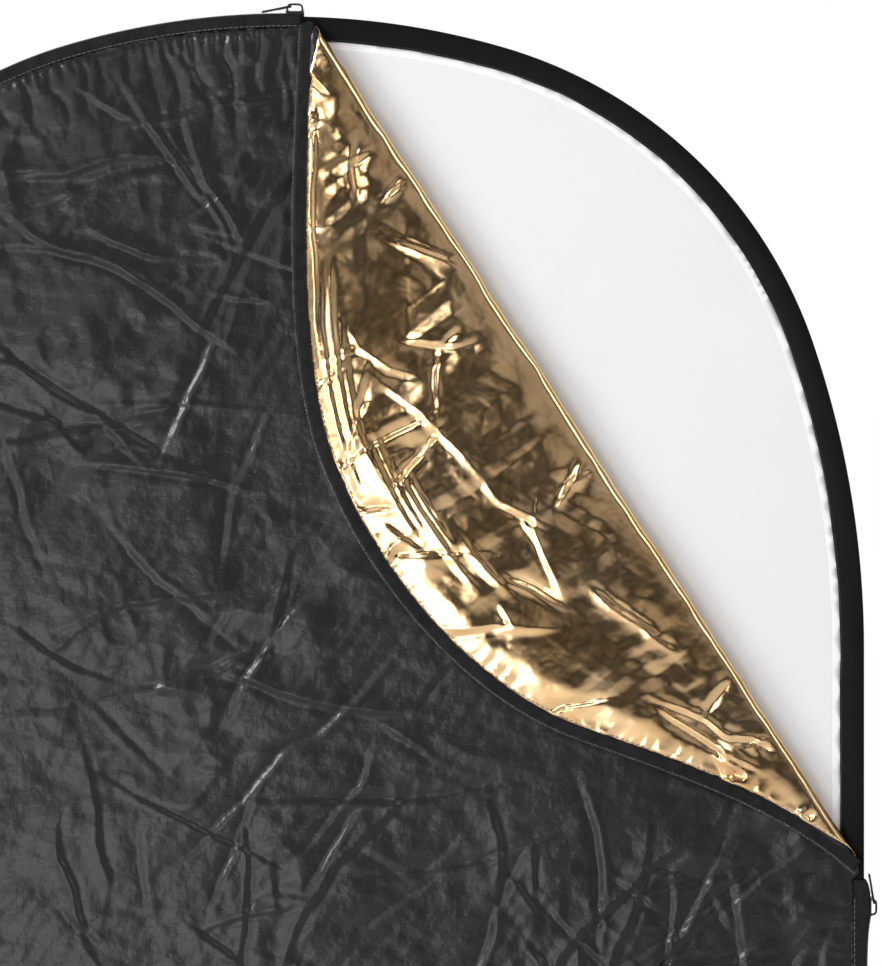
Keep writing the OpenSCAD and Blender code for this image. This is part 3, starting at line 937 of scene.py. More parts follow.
def under_face(x, z):
    """The lining's height on the panel: below the lowest of the face's folds close by."""
    reach, slant = 2.6, 1.9
    steps = [(0, 0)]
    for side in (reach, -reach):
        steps += [(side, 0), (0, side)]
    steps += [(a, b) for a in (slant, -slant) for b in (slant, -slant)]
    lowest = np.min([cover_relief(x + dx, z + dz) for dx, dz in steps], axis=0)
    depth, _ = rim_coordinates(x, z)
    return np.maximum(lowest - 0.1 - 0.2 * smooth(depth, 9, 20), -0.8 - 2.2 * smooth(depth, 9, 14))


def flap_relief(x, z):
    """Height of the folded flap's pleats, gathers and creases, towards the viewer, in mm."""
    e = before_fold(x, z)
    w, share = along_polyline(x, z, FREE_EDGE)
    q = share * FREE_EDGE_LENGTH
    inner = smooth(w, 9, 24) * smooth(e, 4, 20)
    h = inner * (0.75 * noise(x, z, 52, 41) + 0.3 * noise(x, z, 21, 42))
    h += inner * (1.3 * facets(x, z, 41, 3) + 0.4 * facets(x, z, 17, 4))
    h = add_creases(h, x, z, FLAP_CREASES, sharp_fold, 9)
    h = add_creases(h, x, z, FLAP_PLEATS, knife_pleat, 2.0)
    slip = 3.4 * noise(q, w, 13, 71) + 4 * wobble(q, 37, 72)
    gathers = np.abs(np.sin(np.pi * (q + slip) / 8.4)) ** 0.6
    strength = (0.3 + 0.75 * smooth(z, 330, 170)) * (0.7 + 0.6 * wobble(q, 25, 73))
    h += strength * gathers * smooth(w, 5.5, 8) * smooth(1 - w / (17 + 6 * wobble(q, 19, 74)), 0, 0.8)
    pillow = 1 - np.exp(-np.maximum(0, e + ROLL_LEAD) / 14)
    h = h * smooth(e, 0, 7) + (2.6 * smooth(w, 4, 22) - 0.6) * pillow
    depth, _ = rim_coordinates(x + 2 * e * FOLD_N[0], z + 2 * e * FOLD_N[1])
    ceiling = 1.4 + 2.0 * smooth(depth, 13, 26)
    floor = 3.5 - FLAP_SLOPE * e
    return np.where(h > 0, ceiling * np.tanh(h / ceiling), floor * np.tanh(h / floor))


def fold_scallop(a):
    """How far the rolled edge strays from the fold line, in mm."""
    return 0.7 * wobble(a, 31, 81) + 0.35 * wobble(a, 11, 82)


def folded(x, z, level, panel_relief):
    """World points of the cover's flat cloth once its corner is folded back: panel, roll and flap."""
    d = -before_fold(x, z)
    a = x * FOLD_T[0] + z * FOLD_T[1]
    radius, half = FOLD_V - level, roll_half(level)
    turn = np.clip((d + half) / radius, 0, math.pi)
    along = np.where(d < -half, d, np.where(d > half, half - d, radius * np.sin(turn)))
    v = FOLD_V - radius * np.cos(turn)
    out = np.zeros_like(x)
    panel, flap = d < -half, d > half
    v[panel] += panel_relief(x[panel], z[panel])
    back = (half - 2 * d[flap])
    out[flap] = flap_relief(x[flap] + back * FOLD_N[0], z[flap] + back * FOLD_N[1])
    roll = ~panel & ~flap
    out[roll] = 0.25 * np.sin(turn[roll]) * noise(a[roll], 9 * turn[roll], 8, 83)
    lead = np.clip((d[roll] - half + ROLL_LEAD) / ROLL_LEAD, 0, 1)
    edge_x, edge_z = x[roll] - (d[roll] - half) * FOLD_N[0], z[roll] - (d[roll] - half) * FOLD_N[1]
    out[roll] += lead ** 1.3 * flap_relief(edge_x - half * FOLD_N[0], edge_z - half * FOLD_N[1])
    v += out * -np.cos(turn)
    along += out * np.sin(turn)
    along += fold_scallop(a) * np.sin(turn / 2) ** 2 * np.exp(-np.maximum(0, d - half) / 7)
    tilt = FLAP_TILT * smooth(turn / math.pi)
    new_e, new_v = lean(-along, v, tilt)
    return np.stack([x + (-new_e - d) * FOLD_N[0], -new_v, z + (-new_e - d) * FOLD_N[1]], -1)


def cover_cut(level, inset, step, corner):
    """The flat cut of the cover's front cloth: the oval, with the flap's free edge unfolded. corner
    is how far the cut keeps clear of the fold line at its two ends."""
    half = roll_half(level)
    panel = rim_inset(np.arange(CLOSED_END_S, ZIP_SIDE_S, -1.0), inset)
    panel = panel[before_fold(*panel.T) > half + corner]
    edge = free_edge(inset)
    edge = edge[before_fold(*edge.T) > 0.3 + corner]
    flap = edge + (2 * before_fold(*edge.T) + half)[:, None] * FOLD_N
    return resample(np.concatenate([panel, flap[::-1]]), step)


def detailed(points, margin):
    """The upper right part of the panel, which the camera sees."""
    return (points[:, 0] > -156 - margin) & (points[:, 1] > -50 - margin)


def cover_cloth(name, level, inset, spacing, coarse, thickness, slot, stands_for, relief,
                corner=0.3, detail=None):
    """One continuous cloth of the cover's front, shaped as it lies at rest: along the frame, round the fold
    and along the flap; it rides no body. spacing is for the flap and the fold, coarse for the panel, detail
    for its seen part."""
    half = roll_half(level)
    border = half + 6
    seam = border + coarse / 2
    cut = cover_cut(level, inset, 1.8, corner)
    low, high = cut.min(0), cut.max(0)
    fine = grid_points(low, high, spacing, FOLD_T)
    rest = grid_points(low, high, coarse, FOLD_T)
    inner = np.concatenate([fine[before_fold(*fine.T) < border], rest[before_fold(*rest.T) > seam]])
    if detail:
        near = grid_points(low, high, detail, FOLD_T)
        near = near[(before_fold(*near.T) > seam) & detailed(near, 0)]
        kept = ~detailed(inner, coarse / 2) | (before_fold(*inner.T) < seam)
        inner = np.concatenate([inner[kept], near])
    inner = inner[inside(inner, cut)]
    inner = inner[clear_of(inner, cut, 1.0)]
    plan, triangles = triangulate(cut, inner)
    points, faces = thicken(folded(plan[:, 0], plan[:, 1], level, relief), triangles, thickness)
    both = np.concatenate([plan, plan])
    laid = np.stack([both[:, 0], np.zeros(len(both)), both[:, 1]], 1)
    obj = piece(name, (laid, faces, both), slot, stands_for, body=None)
    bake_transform(obj)
    obj.data.vertices.foreach_set("co", (points * MM).astype(np.float32).ravel())
    obj.data.update()
    return obj


def oval_sheet(name, inset, spacing, thickness, level, relief, slot, stands_for, rings=()):
    """A flat sheet over the whole oval, with its own relief towards the viewer. rings are insets
    where the mesh gets a clean line."""
    cut = outline_inset(inset, 2.5)
    inner = grid_points(cut.min(0), cut.max(0), spacing)
    inner = inner[inside(inner, cut)]
    inner = inner[clear_of(inner, cut, 1.3)]
    for ring in rings:
        line = outline_inset(ring, 1.5)
        inner = np.concatenate([inner[clear_of(inner, line, 1.2 if ring == rings[0] else 0.2)], line])
    plan, triangles = triangulate(cut, inner)
    v = level + relief(plan[:, 0], plan[:, 1])
    points, faces = thicken(np.stack([plan[:, 0], -v, plan[:, 1]], 1), triangles, thickness)
    obj = piece(name, (points, faces, np.concatenate([plan, plan])), slot, stands_for)
    return obj


def diffuser_ripple(x, z):
    depth, s = rim_coordinates(x, z)
    pucker = 0.12 * np.sin(2 * np.pi * (s + 2 * noise(s, depth, 20, 91)) / 9) * smooth(1 - depth / 45)
    return pucker * smooth(depth, 11, 17) + 0.25 * noise(x, z, 150, 92) * smooth(depth, 11, 60)


def back_relief(x, z):
    """The silver back's crinkles, which stand towards the back."""
    depth, s = rim_coordinates(x, z)
    busy = smooth(noise(x, z, 60, 103), -0.6, 0.3)
    h = 0.7 * noise(x, z, 70, 101) + 0.45 * noise(x, z, 26, 102)
    h += 0.6 * ridges(x, z, 48, 104) * busy + 0.3 * ridges(x, z, 17, 105) * busy
    h = add_creases(h, x, z, BACK_CREASES, sharp_fold, 9)
    h = h * smooth(depth, 12, 30) + rim_gathers(depth - 5, s, 111)
    return -np.clip(h, -2.2, 2.6)


def lining_relief(x, z):
    return np.clip(back_relief(x, z), -1.6, 1.9)


def make_cloths():
    gold = cover_cloth("cover_gold_lining", LINING_V, 6.2, 1.15, 5.0, 0.25, "gold_foil",
                       ("front_lining", "flap_lining"), under_face, corner=9.0)
    cover_cloth("cover_black_face", COVER_V, SHEET_INSET, 2.2, 3.0, 0.3, "black_taffeta",
                ("front_outer", "flap_outer"), cover_relief, detail=1.5)
    diffuser = oval_sheet("diffuser_cloth", 11.3, 5.0, 0.3, 0.0, diffuser_ripple, "diffuser_cloth",
                          ("diffuser_panel",), rings=(HEM_DEPTH - 0.15, HEM_DEPTH + 0.15))
    whiten_hem(diffuser)
    oval_sheet("back_white_lining", SHEET_INSET, 5.0, 0.2, -3.95, lining_relief, "white_taffeta",
               ("back_lining",))
    oval_sheet("back_silver_face", 5.2, 2.8, 0.3, -4.72, back_relief, "silver_foil", ("back_outer",))


def whiten_hem(diffuser):
    """The diffuser's edge is doubled, so less light goes through it."""
    mesh = diffuser.data
    mesh.materials.append(FINISHES["hem_cloth"])
    centres = np.empty(len(mesh.polygons) * 3, np.float32)
    mesh.polygons.foreach_get("center", centres)
    centres = centres.reshape(-1, 3) / MM
    depth, _ = rim_coordinates(centres[:, 0].astype(float), centres[:, 2].astype(float))
    mesh.polygons.foreach_set("material_index", (depth < HEM_DEPTH).astype(np.int32))


# ---------------------------------------------------------------- rim: sleeve, tapes, zip


def sleeve_profile():
    """Centre line of the satin strip: front edge, out over the band and back to the rear edge."""
    slant = math.radians(13)
    corner = arc((-1.8, 2.4), 0.98, math.pi / 2 + slant, 0, 6)
    start = (-12.9, 0.95)
    face = [(start[0] + t * (corner[0][0] - start[0]),
             start[1] + t * (corner[0][1] - start[1]) + 0.55 * math.sin(math.pi * t))
            for t in (0, 0.04, 0.1, 0.2, 0.35, 0.5, 0.65, 0.8, 0.9)]
    front = np.array(face + corner + [(-0.82, 1.2)])
    return np.concatenate([front, [(-0.82, 0.0)], front[::-1] * [1, -1]])


def make_sleeve():
    s = stretch(0, ROUND, 1.5)[:-1]
    centre = np.broadcast_to(sleeve_profile(), (len(s), len(sleeve_profile()), 2)).copy()
    u, v = centre[..., 0], centre[..., 1]
    inner = smooth(-u, 6, 12.5)
    open_part = smooth(s, ZIP_TOP_S, ZIP_TOP_S + 12) * smooth(-s, -ZIP_SIDE_S, -ZIP_SIDE_S + 12)
    stitch = 0.16 * np.cos(2 * np.pi * s / 3.0)[:, None] * smooth(-u, 8.5, 12)
    slack = (0.35 * wobble(s, 42, 121) + 0.22 * wobble(s, 13, 122))[:, None]
    slack = slack * np.sin(np.pi * np.clip(-u / 13, 0, 1))
    v += np.sign(v) * (stitch + slack * open_part[:, None])
    u += inner * (0.22 * wobble(s, 17, 123))[:, None]
    obj = piece("sleeve_satin", rim_ribbon(s, centre, 0.42, closed_path=True), "sleeve_satin",
                ("rim_sleeve",), outward=True)


def make_hem():
    s = stretch(0, ROUND, 2.0)[:-1]
    centre = np.array([(-16.7, -0.4), (-15.5, -0.42), (-14.2, -0.42), (-13.1, -0.4)])
    centre = centre + np.stack([0.15 * wobble(s, 12, 131), 0 * s], 1)[:, None, :]
    piece("diffuser_hem_fold", rim_ribbon(s, centre, 0.26, closed_path=True), "hem_cloth",
          ("diffuser_hem",), outward=True)


def slider_bulge(s):
    """How far the tapes stand out just below the side slider, where the closed chain begins."""
    side = s - (ROUND / 4 - SLIDER_SIDE_Z)
    return 2.2 * np.exp(-np.maximum(0, side - 4) / 9.0) * smooth(side, -20, -6)


def tape_centre():
    """Centre line of the zip tape: flat on the sleeve, then round the corner to the chain."""
    flat = [(-6.35, 5.33), (-6.1, 5.34), (-5.0, 5.33), (-3.6, 5.33), (-2.2, 5.33)]
    corner = arc((-0.95, 4.2), 1.125, math.pi / 2, 0, 6)
    return np.array(flat + corner + [(0.175, 3.2), (0.175, 2.0), (0.175, 0.7)])


def bulged(centre, s):
    """A profile repeated along s, pushed out below the side slider and in at its open end."""
    centre = np.broadcast_to(centre, (len(s),) + centre.shape).copy()
    share = smooth(centre[..., 0], -5.5, -0.5)
    opening = np.exp(-np.maximum(0, s - ZIP_SIDE_S + TAPE_LEAD) / 1.6)
    centre[..., 0] += share * (slider_bulge(s) - 0.8 * opening)[:, None]
    return centre


def make_tapes():
    s = stretch(ZIP_SIDE_S - TAPE_LEAD, CLOSED_END_S, 1.6)
    front = bulged(tape_centre(), s)
    front[..., 0] += (0.12 * wobble(s, 9, 141))[:, None] * smooth(-front[..., 0], 4.5, 6.2)
    piece("zip_tape_front", rim_ribbon(s, front, TAPE_T), "zip_tape", ("front_tape",), outward=True)
    closed = rim_ribbon(s, bulged(tape_centre() * [1, -1], s), TAPE_T)
    flat = np.array([(u, -TAPE_V) for u in (-11.4, -9.5, -7, -4, -1.65)])
    opened = rim_ribbon(stretch(ZIP_TOP_S, ZIP_SIDE_S, 2.0), flat, TAPE_T)
    piece("zip_tape_back", join_parts([closed, opened]), "zip_tape", ("back_tape",), outward=True)


def teeth_on_rim(s, u, v, standing=True):
    """Coil teeth at arc lengths s: standing ones lie front to back and follow the slider's bulge."""
    tangent, outward, front = rim_axes(s)
    push = slider_bulge(s) if standing else 0 * s
    origins = rim_points(s, u + push, np.broadcast_to(v, s.shape))
    if standing:
        return copies(capsule(1.5, 0.46, 0.95), origins, np.stack([front, tangent, outward], 1))
    return copies(capsule(0.9, 0.42, 0.95), origins, np.stack([outward, tangent, front], 1))


def closed_runs(offset):
    """Arc lengths of the teeth along the zipped stretch, either side of the bottom tab."""
    gap = math.radians(BOTTOM_TAB_DEG + 0.3) * END_R
    bottom = ROUND / 2
    return np.concatenate([np.arange(ZIP_SIDE_S + offset, bottom - gap, TOOTH_PITCH),
                           np.arange(bottom + gap + offset, CLOSED_END_S - 0.6, TOOTH_PITCH)])


def make_coils():
    piece("zip_coil_front", teeth_on_rim(closed_runs(0.3), 0.86, 1.2), "zip_coil", ("front_coil",))
    closed = teeth_on_rim(closed_runs(0.9), 0.86, -1.2)
    opened = teeth_on_rim(np.arange(ZIP_TOP_S + 1, ZIP_SIDE_S - 1, TOOTH_PITCH), -1.1, -5.02, standing=False)
    piece("zip_coil_back", join_parts([closed, opened]), "zip_coil", ("back_coil",))


def rim_stitches(s, u, v, length, radius):
    tangent, outward, front = rim_axes(s)
    origins = rim_points(s, u, np.broadcast_to(v, s.shape))
    return copies(capsule(length, radius, 0.8, 6), origins, np.stack([tangent, outward, front], 1))


def make_stitches():
    sleeve_s = np.arange(0, ROUND - 1, 3.0)
    rows = [rim_stitches(sleeve_s, -12.2, side * 1.42, 2.3, 0.2) for side in (1, -1)]
    piece("sleeve_stitches", join_parts(rows), "black_thread", ("sleeve_thread",))
    closed_s = np.arange(ZIP_SIDE_S + 2, CLOSED_END_S - 2, STITCH_PITCH)
    open_s = np.arange(ZIP_TOP_S + 2, ZIP_SIDE_S - 2, STITCH_PITCH)
    piece("front_stitches", rim_stitches(closed_s, -5.75, 5.58, *STITCH), "grey_thread", ("front_thread",))
    back = [rim_stitches(closed_s, -5.75, -5.4, *STITCH), rim_stitches(open_s, -10.9, -5.4, *STITCH)]
    piece("back_stitches", join_parts(back), "grey_thread", ("back_thread",))


# ---------------------------------------------------------------- flap: tape, coil and stitches


def edge_frames(inset, step, end=2.0):
    """Points along the flap's free edge, moved in by inset, with tangents and inward normals."""
    line = free_edge(inset)
    line = line[before_fold(*line.T) > 1.2]
    q = np.arange(end, run_lengths(line)[-1] - end, step)
    at = walk(line, q)
    way = unit(walk(line, q + 0.5) - at)
    return q, at, way, left_of(way)


def make_flap_tape():
    q, at, _, inward = edge_frames(0.0, 1.5, 0.5)
    across = np.array([6.6, 5.4, 4.0, 2.6, 1.2, 0.1])
    level = 2 * FOLD_V - TAPE_V + 0.1 * wobble(q, 11, 151)
    centre = np.stack(np.broadcast_arrays(across, level[:, None]), -1)
    ring = ribbon_ring(centre, TAPE_T)
    x = at[:, None, 0] + inward[:, None, 0] * ring[..., 0]
    z = at[:, None, 1] + inward[:, None, 1] * ring[..., 0]
    points, faces = loft(leaned(x, z, ring[..., 1]))
    uv = np.stack([np.broadcast_to(q[:, None], x.shape), ring[..., 0]], -1).reshape(-1, 2)
    piece("flap_zip_tape", (points, faces, uv), "zip_tape", ("flap_tape",), body="flap", outward=True)


def along_edge(shape, inset, level, step, across):
    """Copies of a shape along the flap's free edge, lying across it or along it."""
    q, at, way, inward = edge_frames(inset, step)
    origins = leaned(at[:, 0], at[:, 1], np.full(len(q), level))
    zero = np.zeros(len(q))
    tangent = np.stack([way[:, 0], zero, way[:, 1]], 1)
    inner = np.stack([inward[:, 0], zero, inward[:, 1]], 1)
    front = np.broadcast_to([0.0, -1.0, 0.0], inner.shape)
    axes = np.stack([inner, tangent, front], 1) if across else np.stack([tangent, inner, front], 1)
    return copies(shape, origins, axes)


def make_flap_trim():
    tape_back = 2 * FOLD_V - TAPE_V - TAPE_T / 2
    teeth = along_edge(capsule(1.9, 0.4, 1.0), -0.35, tape_back - 0.36, TOOTH_PITCH, True)
    piece("flap_zip_coil", teeth, "zip_coil", ("flap_coil",), body="flap")
    stitches = along_edge(capsule(*STITCH, 0.8, 6), 7.2, 2 * FOLD_V - 3.7, STITCH_PITCH, False)
    piece("flap_stitches", stitches, "grey_thread", ("flap_thread",), body="flap")

# ---------------------------------------------------------------- tab, stops and sliders


def make_end_tab():
    half = math.radians(BOTTOM_TAB_DEG) * END_R
    s = stretch(ROUND / 2 - half, ROUND / 2 + half, 0.6)
    corner = arc((-0.95, 4.2), 2.2, math.pi / 2, 0, 7)
    centre = np.array([(-7.4, 6.3), (-7.1, 6.42), (-5, 6.4), (-3, 6.4)] + corner
                      + [(1.25, 2.2), (1.25, 0), (1.25, -2.2), (1.25, -3.9), (1.2, -4.15)])
    centre = np.broadcast_to(centre, (len(s),) + centre.shape).copy()
    rounded = 0.25 * smooth(np.abs(s - ROUND / 2), half - 1.5, half)
    centre[..., 1] -= (rounded * 0.6)[:, None] * (centre[..., 1] > 5)
    piece("zip_end_tab_ribbon", rim_ribbon(s, centre, 0.38), "tab_cloth", ("zip_end_tab",), outward=True)
    across = np.arange(-5.6, 0.2, 1.5)
    rows = [rim_stitches(np.array([ROUND / 2 + side * (half - 1.2)] * len(across)), across,
                         np.full(len(across), 6.62), 0.25, 0.16) for side in (-1, 1)]
    bars = [rim_stitches(np.arange(ROUND / 2 - half + 2, ROUND / 2 + half - 1.5, 2.0), u, 6.62, 1.5, 0.16)
            for u in (-6.3, -1.4)]
    piece("zip_end_tab_stitches", join_parts(rows + bars), "grey_thread")


def make_end_stops():
    crimp = [(-2.2, 0.5), (-2.0, 0.95), (-1.0, 1.12), (0, 1.06), (1.0, 1.12), (2.0, 0.95), (2.2, 0.5)]
    parts = []
    for side in (-1, 1):
        at = np.array([ROUND / 2 + side * math.radians(BOTTOM_TAB_DEG + 0.12) * END_R])
        tangent, outward, front = (a[0] for a in rim_axes(at))
        origin = rim_points(at, 0.95, np.array([0.0]))[0]
        ring = [[origin + front * v + outward * 0.5 * k * math.cos(a) + tangent * 0.72 * k * math.sin(a)
                 for a in turns(10)] for v, k in crimp]
        points, faces = loft(np.array(ring))
        parts.append((points, faces, points[:, [0, 2]]))
    piece("zip_end_crimps", join_parts(parts), "stop_metal", ("zip_end_stops",), outward=True)


def top_place(p):
    """Slider coordinates to mm: x along the zip, y to the back, z outwards."""
    turn = math.radians(SLIDER_TOP_DEG)
    x, y, z = p[:, 0], p[:, 1], p[:, 2] + END_R
    return np.stack([x * math.cos(turn) + z * math.sin(turn), y,
                     END_C[1] - x * math.sin(turn) + z * math.cos(turn)], 1)


def side_place(p):
    return np.stack([HALF_WIDTH + p[:, 2], p[:, 1], SLIDER_SIDE_Z - p[:, 0]], 1)


def rounded_plate(outline, low, high, edge=0.22):
    """A plate with softened edges: an outline in (x, y) between two heights."""
    outline = np.asarray(outline, float)
    centre = outline.mean(0)
    rings = []
    for z, inset in ((low, edge), (low + edge * 0.4, edge * 0.25), (low + edge, 0),
                     (high - edge, 0), (high - edge * 0.4, edge * 0.25), (high, edge)):
        way = outline - centre
        size = np.linalg.norm(way, axis=1, keepdims=True)
        ring = centre + way * (1 - inset / size)
        rings.append(np.column_stack([ring, np.full(len(ring), z)]))
    return solid(rings)


def bar(line, widths, height, sides=12):
    """A rounded bar along a line in (x, z): widths are across y, height across the line."""
    line = np.asarray(line, float)
    way = unit(np.gradient(line, axis=0))
    c, s = np.cos(turns(sides)), np.sin(turns(sides))
    square = 1 / np.maximum(np.abs(c), np.abs(s)) ** 0.7
    rings = []
    for (x, z), (wx, wz), w in zip(line, way, widths):
        y, n = w / 2 * c * square, height / 2 * s * square
        rings.append(np.stack([x - wz * n, y, z + wx * n], 1))
    return solid(rings)


def soften(outline, count=4, radius=0.35):
    """Rounds a polygon's corners by replacing each with a short curve."""
    outline = np.asarray(outline, float)
    rounded = []
    for i in range(len(outline)):
        a, b, c = outline[i - 1], outline[i], outline[(i + 1) % len(outline)]
        start = b + (a - b) * min(0.5, radius / np.linalg.norm(a - b))
        end = b + (c - b) * min(0.5, radius / np.linalg.norm(c - b))
        for t in np.linspace(0, 1, count):
            rounded.append((1 - t) ** 2 * start + 2 * t * (1 - t) * b + t * t * end)
    return np.array(rounded)


def slider_body_parts(mouth):
    """Upper and lower plates with shoulders at the mouth end, side flanges and the diamond post."""
    half = [(-4.9, 1.9), (-4.3, 2.5), (-1.2, 2.75), (1.6, 3.25), (4.2, 3.25), (4.9, 2.2), (4.6, 0.9)]
    shape = np.array(half + [(x, -y) for x, y in reversed(half)]) * [mouth, 1]
    parts = [rounded_plate(soften(shape, radius=0.8), 1.52, 2.18),
             rounded_plate(soften(shape), -0.5, -0.14, 0.1)]
    for side in (-1, 1):
        rail = np.array([(-4.7, 2.0), (-1.2, 2.3), (1.6, 2.75), (4.2, 2.75), (4.5, 2.5), (4.2, 3.2),
                         (1.6, 3.2), (-1.2, 2.7), (-4.4, 2.45)]) * [mouth, side]
        parts.append(rounded_plate(soften(rail, radius=0.2), 0.55, 1.6, 0.08))
    post = np.array([(3.2, 0), (4.0, 0.2), (4.9, 0), (4.0, -0.2)]) * [mouth, 1]
    parts.append(rounded_plate(post, -0.4, 1.9, 0.04))
    return parts


def slider_bridge_parts():
    """The arched bridge that holds the pull, and its two feet."""
    rise = [(-4.1, 2.2, 2.3), (-4.0, 3.2, 2.25), (-3.75, 4.4, 2.2), (-3.3, 5.3, 2.1), (-2.4, 5.75, 2.05),
            (-1.2, 5.85, 2.0)]
    arch = rise + [(0, 5.85, 2.0)] + [(-x, z, width) for x, z, width in reversed(rise)]
    foot = np.array([(-0.75, -1.15), (0.75, -1.15), (0.75, 1.15), (-0.75, 1.15)])
    feet = [rounded_plate(soften(foot + [x, 0], radius=0.4), 2.2, 2.7, 0.15) for x in (-3.7, 3.7)]
    return [bar([(x, z) for x, z, _ in arch], [width for _, _, width in arch], 1.05)] + feet


def slider_pull_parts(slope):
    """Cross bar, two arms and a tapered tab with a raised rim and a knob at its tip."""
    turn = turns(12)
    parts = [solid([np.stack([0.42 * np.cos(turn), np.full(12, y), 0.42 * np.sin(turn)], 1)
                    for y in np.linspace(-2.1, 2.1, 7)])]
    x = np.linspace(0.4, -6.9, 9)
    for side in (-1, 1):
        points, faces, uv = bar(np.stack([x, 0 * x], 1), [0.95] * 9, 0.95)
        points[:, 1] += side * 2.1
        parts.append((points, faces, uv))
    tip = [(-12.9 - 2.55 * math.sin(a), 2.55 * math.cos(a)) for a in np.linspace(0, math.pi, 11)]
    tab = [(-6.3, 2.55), (-9, 2.35)] + tip + [(-9, -2.35), (-6.3, -2.55)]
    parts.append(rounded_plate(tab, -0.36, 0.36, 0.16))
    half = [(-6.9, 2.1), (-9, 1.95), (-12.9, 2.1), (-14.6, 1.3)]
    line = soften(half + [(-15.0, 0)] + [(x, -y) for x, y in reversed(half)], radius=0.9)
    side_way = left_of(unit(np.roll(line, -1, 0) - np.roll(line, 1, 0)))
    parts.append(solid([[(*(p + 0.32 * math.cos(a) * w), 0.3 + 0.2 * math.sin(a)) for a in turns(8)]
                        for p, w in zip(line, side_way)], closed_path=True))
    knob = [(-14.2 + 0.8 * math.cos(a), 0.8 * math.sin(a)) for a in turns(8)]
    parts.append(rounded_plate(knob, 0.2, 0.72, 0.2))
    return [(hung(points, math.radians(slope)), faces, uv) for points, faces, uv in parts]


def hung(points, tilt):
    """A pull's points, turned by tilt about its bar and moved to where it hangs on the bridge."""
    x, z = points[:, 0], points[:, 2]
    return np.stack([-2.2 + x * math.cos(tilt) - z * math.sin(tilt), points[:, 1],
                     4.7 + x * math.sin(tilt) + z * math.cos(tilt)], 1)


def make_slider(which, place, mouth, slope):
    """A slider's three pieces. mouth is 1 or -1, the way its wide end points; slope is its pull's."""
    for part, body, parts, slot in (
            ("body", "slider", slider_body_parts(mouth), "slider_metal"),
            ("bridge", "slider", slider_bridge_parts(), "slider_metal"),
            ("pull", "pull", slider_pull_parts(slope), "pull_metal")):
        points, faces, uv = join_parts(parts)
        piece(f"{which}_zip_{part}", (place(points), faces, uv), slot, (f"{which}_slider_{part}",),
              body=f"{which}_{body}", outward=True)


# ---------------------------------------------------------------- steel hoop, kept from the CAD


def finish_hoop():
    for node, slot in (("spring_band", "spring_steel"), ("band_ferrule", "ferrule_steel")):
        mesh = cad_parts[node].data
        mesh.materials.clear()
        mesh.materials.append(FINISHES[slot])


# ---------------------------------------------------------------- floor, lights and camera


def make_floor():
    low = CAD_BOX[0][2] - 0.002
    bpy.ops.mesh.primitive_grid_add(x_subdivisions=8, y_subdivisions=8, size=9.4, location=(0, 0, low))
    floor = bpy.context.object
    floor.name = "floor"
    floor.data.materials.append(floor_paper())


def area_light(name, place, size, energy):
    """A lamp that points at the middle of the view."""
    light = bpy.data.lights.new(name, "AREA")
    light.shape = "RECTANGLE"
    light.size, light.size_y = size
    light.energy = energy
    obj = bpy.data.objects.new(name, light)
    obj.location = place
    way = Vector((0.08, 0.0, 0.2)) - Vector(place)
    obj.rotation_euler = way.to_track_quat("-Z", "Y").to_euler()
    obj.visible_camera = False
    bpy.context.scene.collection.objects.link(obj)


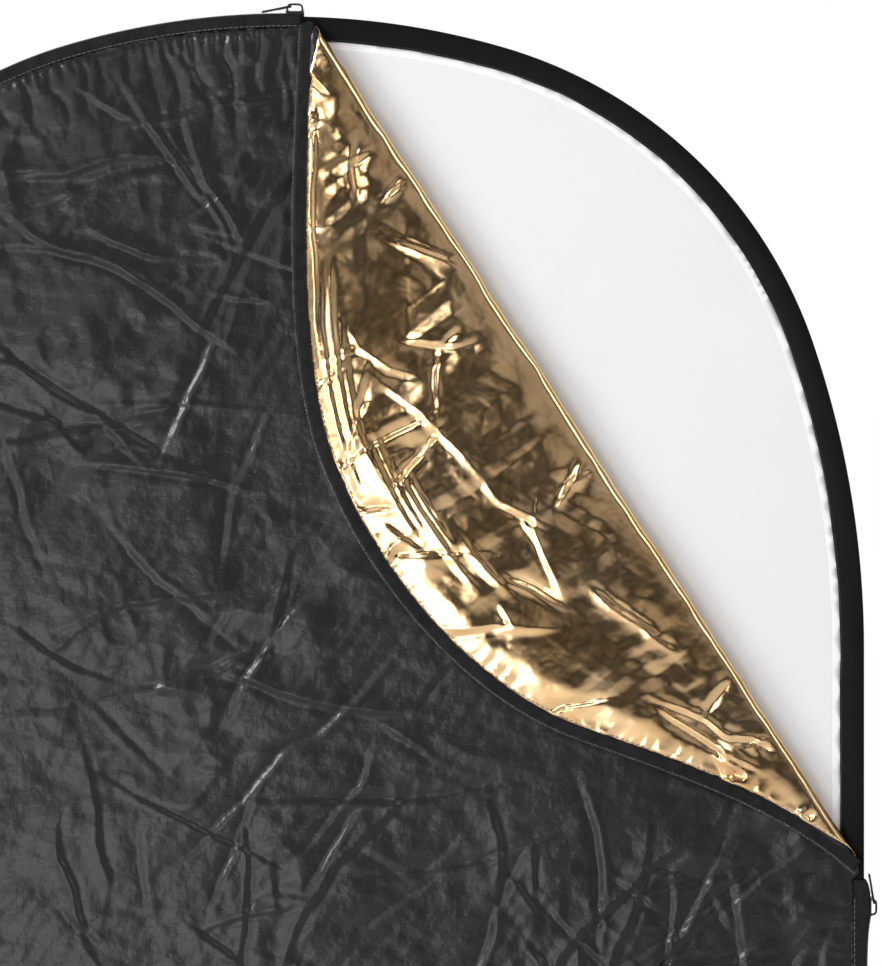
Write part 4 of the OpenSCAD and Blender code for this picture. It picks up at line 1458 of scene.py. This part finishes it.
def make_world():
    """White to the camera; to the object, a studio that is dark behind the camera and pale around."""
    world = bpy.data.worlds.new("studio")
    bpy.context.scene.world = world
    world.use_nodes = True
    world.node_tree.nodes.clear()
    w = Nodes(world.node_tree)
    direction = w.node("ShaderNodeTexCoord").outputs["Generated"]
    depth = w.node("ShaderNodeSeparateXYZ", {0: direction}).outputs["Y"]
    front = w.node("ShaderNodeMapRange", {"Value": depth, "From Min": 1.0, "From Max": -1.0})
    ramp = w.node("ShaderNodeValToRGB", {"Fac": front.outputs["Result"]})
    stops = ((0.0, 0.45), (0.5, 0.55), (0.80, 0.60), (0.90, 0.38), (0.945, 0.14), (0.972, 0.05),
             (0.988, 0.015), (1.0, 0.008))
    elements = ramp.color_ramp.elements
    while len(elements) < len(stops):
        elements.new(0.5)
    for element, (position, value) in zip(elements, stops):
        element.position = position
        element.color = (value, value, value, 1)
    patches = w.node("ShaderNodeTexNoise", {"Vector": direction, "Scale": 3.2, "Detail": 1.0})
    uneven = w.node("ShaderNodeMapRange", {"Value": patches.outputs["Fac"], "From Min": 0.42,
                                           "From Max": 0.58, "To Min": 0.25, "To Max": 1.75})
    room = w.node("ShaderNodeBackground", {"Color": ramp.outputs["Color"],
                                           "Strength": uneven.outputs["Result"]})
    paper = w.node("ShaderNodeBackground", {"Color": (1, 1, 1, 1)})
    fill = w.node("ShaderNodeBackground", {"Color": (0.30, 0.30, 0.30, 1)})
    ray = w.node("ShaderNodeLightPath").outputs
    soft = w.node("ShaderNodeMixShader", {"Fac": ray["Is Diffuse Ray"], 1: room.outputs[0],
                                          2: fill.outputs[0]})
    last = w.node("ShaderNodeMixShader", {"Fac": ray["Is Camera Ray"], 1: soft.outputs[0],
                                          2: paper.outputs[0]})
    w.node("ShaderNodeOutputWorld", {"Surface": last.outputs[0]})


def make_lights():
    area_light("key_left", (-1.9, -2.2, -0.3), (1.0, 2.6), 18)
    area_light("strip_top_left", (-0.70, -2.7, 1.05), (0.45, 0.55), 5.6)
    area_light("strip_low_left", (-0.42, -1.35, -0.12), (0.45, 0.55), 4.0)
    area_light("rake_top_left", (-2.4, -0.95, 1.5), (0.6, 0.6), 62)
    area_light("right_top", (1.8, -1.5, 1.7), (0.9, 1.6), 10)
    area_light("card_right", (0.62, -2.7, 0.62), (0.85, 0.7), 0.7)
    area_light("back_left", (-1.9, 2.2, 1.0), (1.6, 1.6), 30)
    area_light("back_right", (2.0, 2.2, 0.6), (1.6, 1.6), 22)


def make_camera():
    """Square on to the front, with the upper right corner filling the picture."""
    distance, framed, sensor, cover_y = 3.0, 0.5003, 36.0, 0.005
    camera = bpy.data.cameras.new("camera")
    camera.lens = sensor * (distance - cover_y) / framed
    camera.clip_end = 50
    obj = bpy.data.objects.new("camera", camera)
    obj.location = (0.0798, -distance, 0.2075)
    obj.rotation_euler = (math.pi / 2, 0, 0)
    bpy.context.scene.collection.objects.link(obj)
    bpy.context.scene.camera = obj


# ---------------------------------------------------------------- build

make_cloths()
make_sleeve()
make_hem()
make_tapes()
make_coils()
make_stitches()
make_flap_tape()
make_flap_trim()
make_end_tab()
make_end_stops()
make_slider("top", top_place, 1, 12)
make_slider("side", side_place, -1, 10)
finish_hoop()
make_floor()
make_world()
make_lights()
make_camera()
bpy.context.scene.view_settings.view_transform = "Standard"
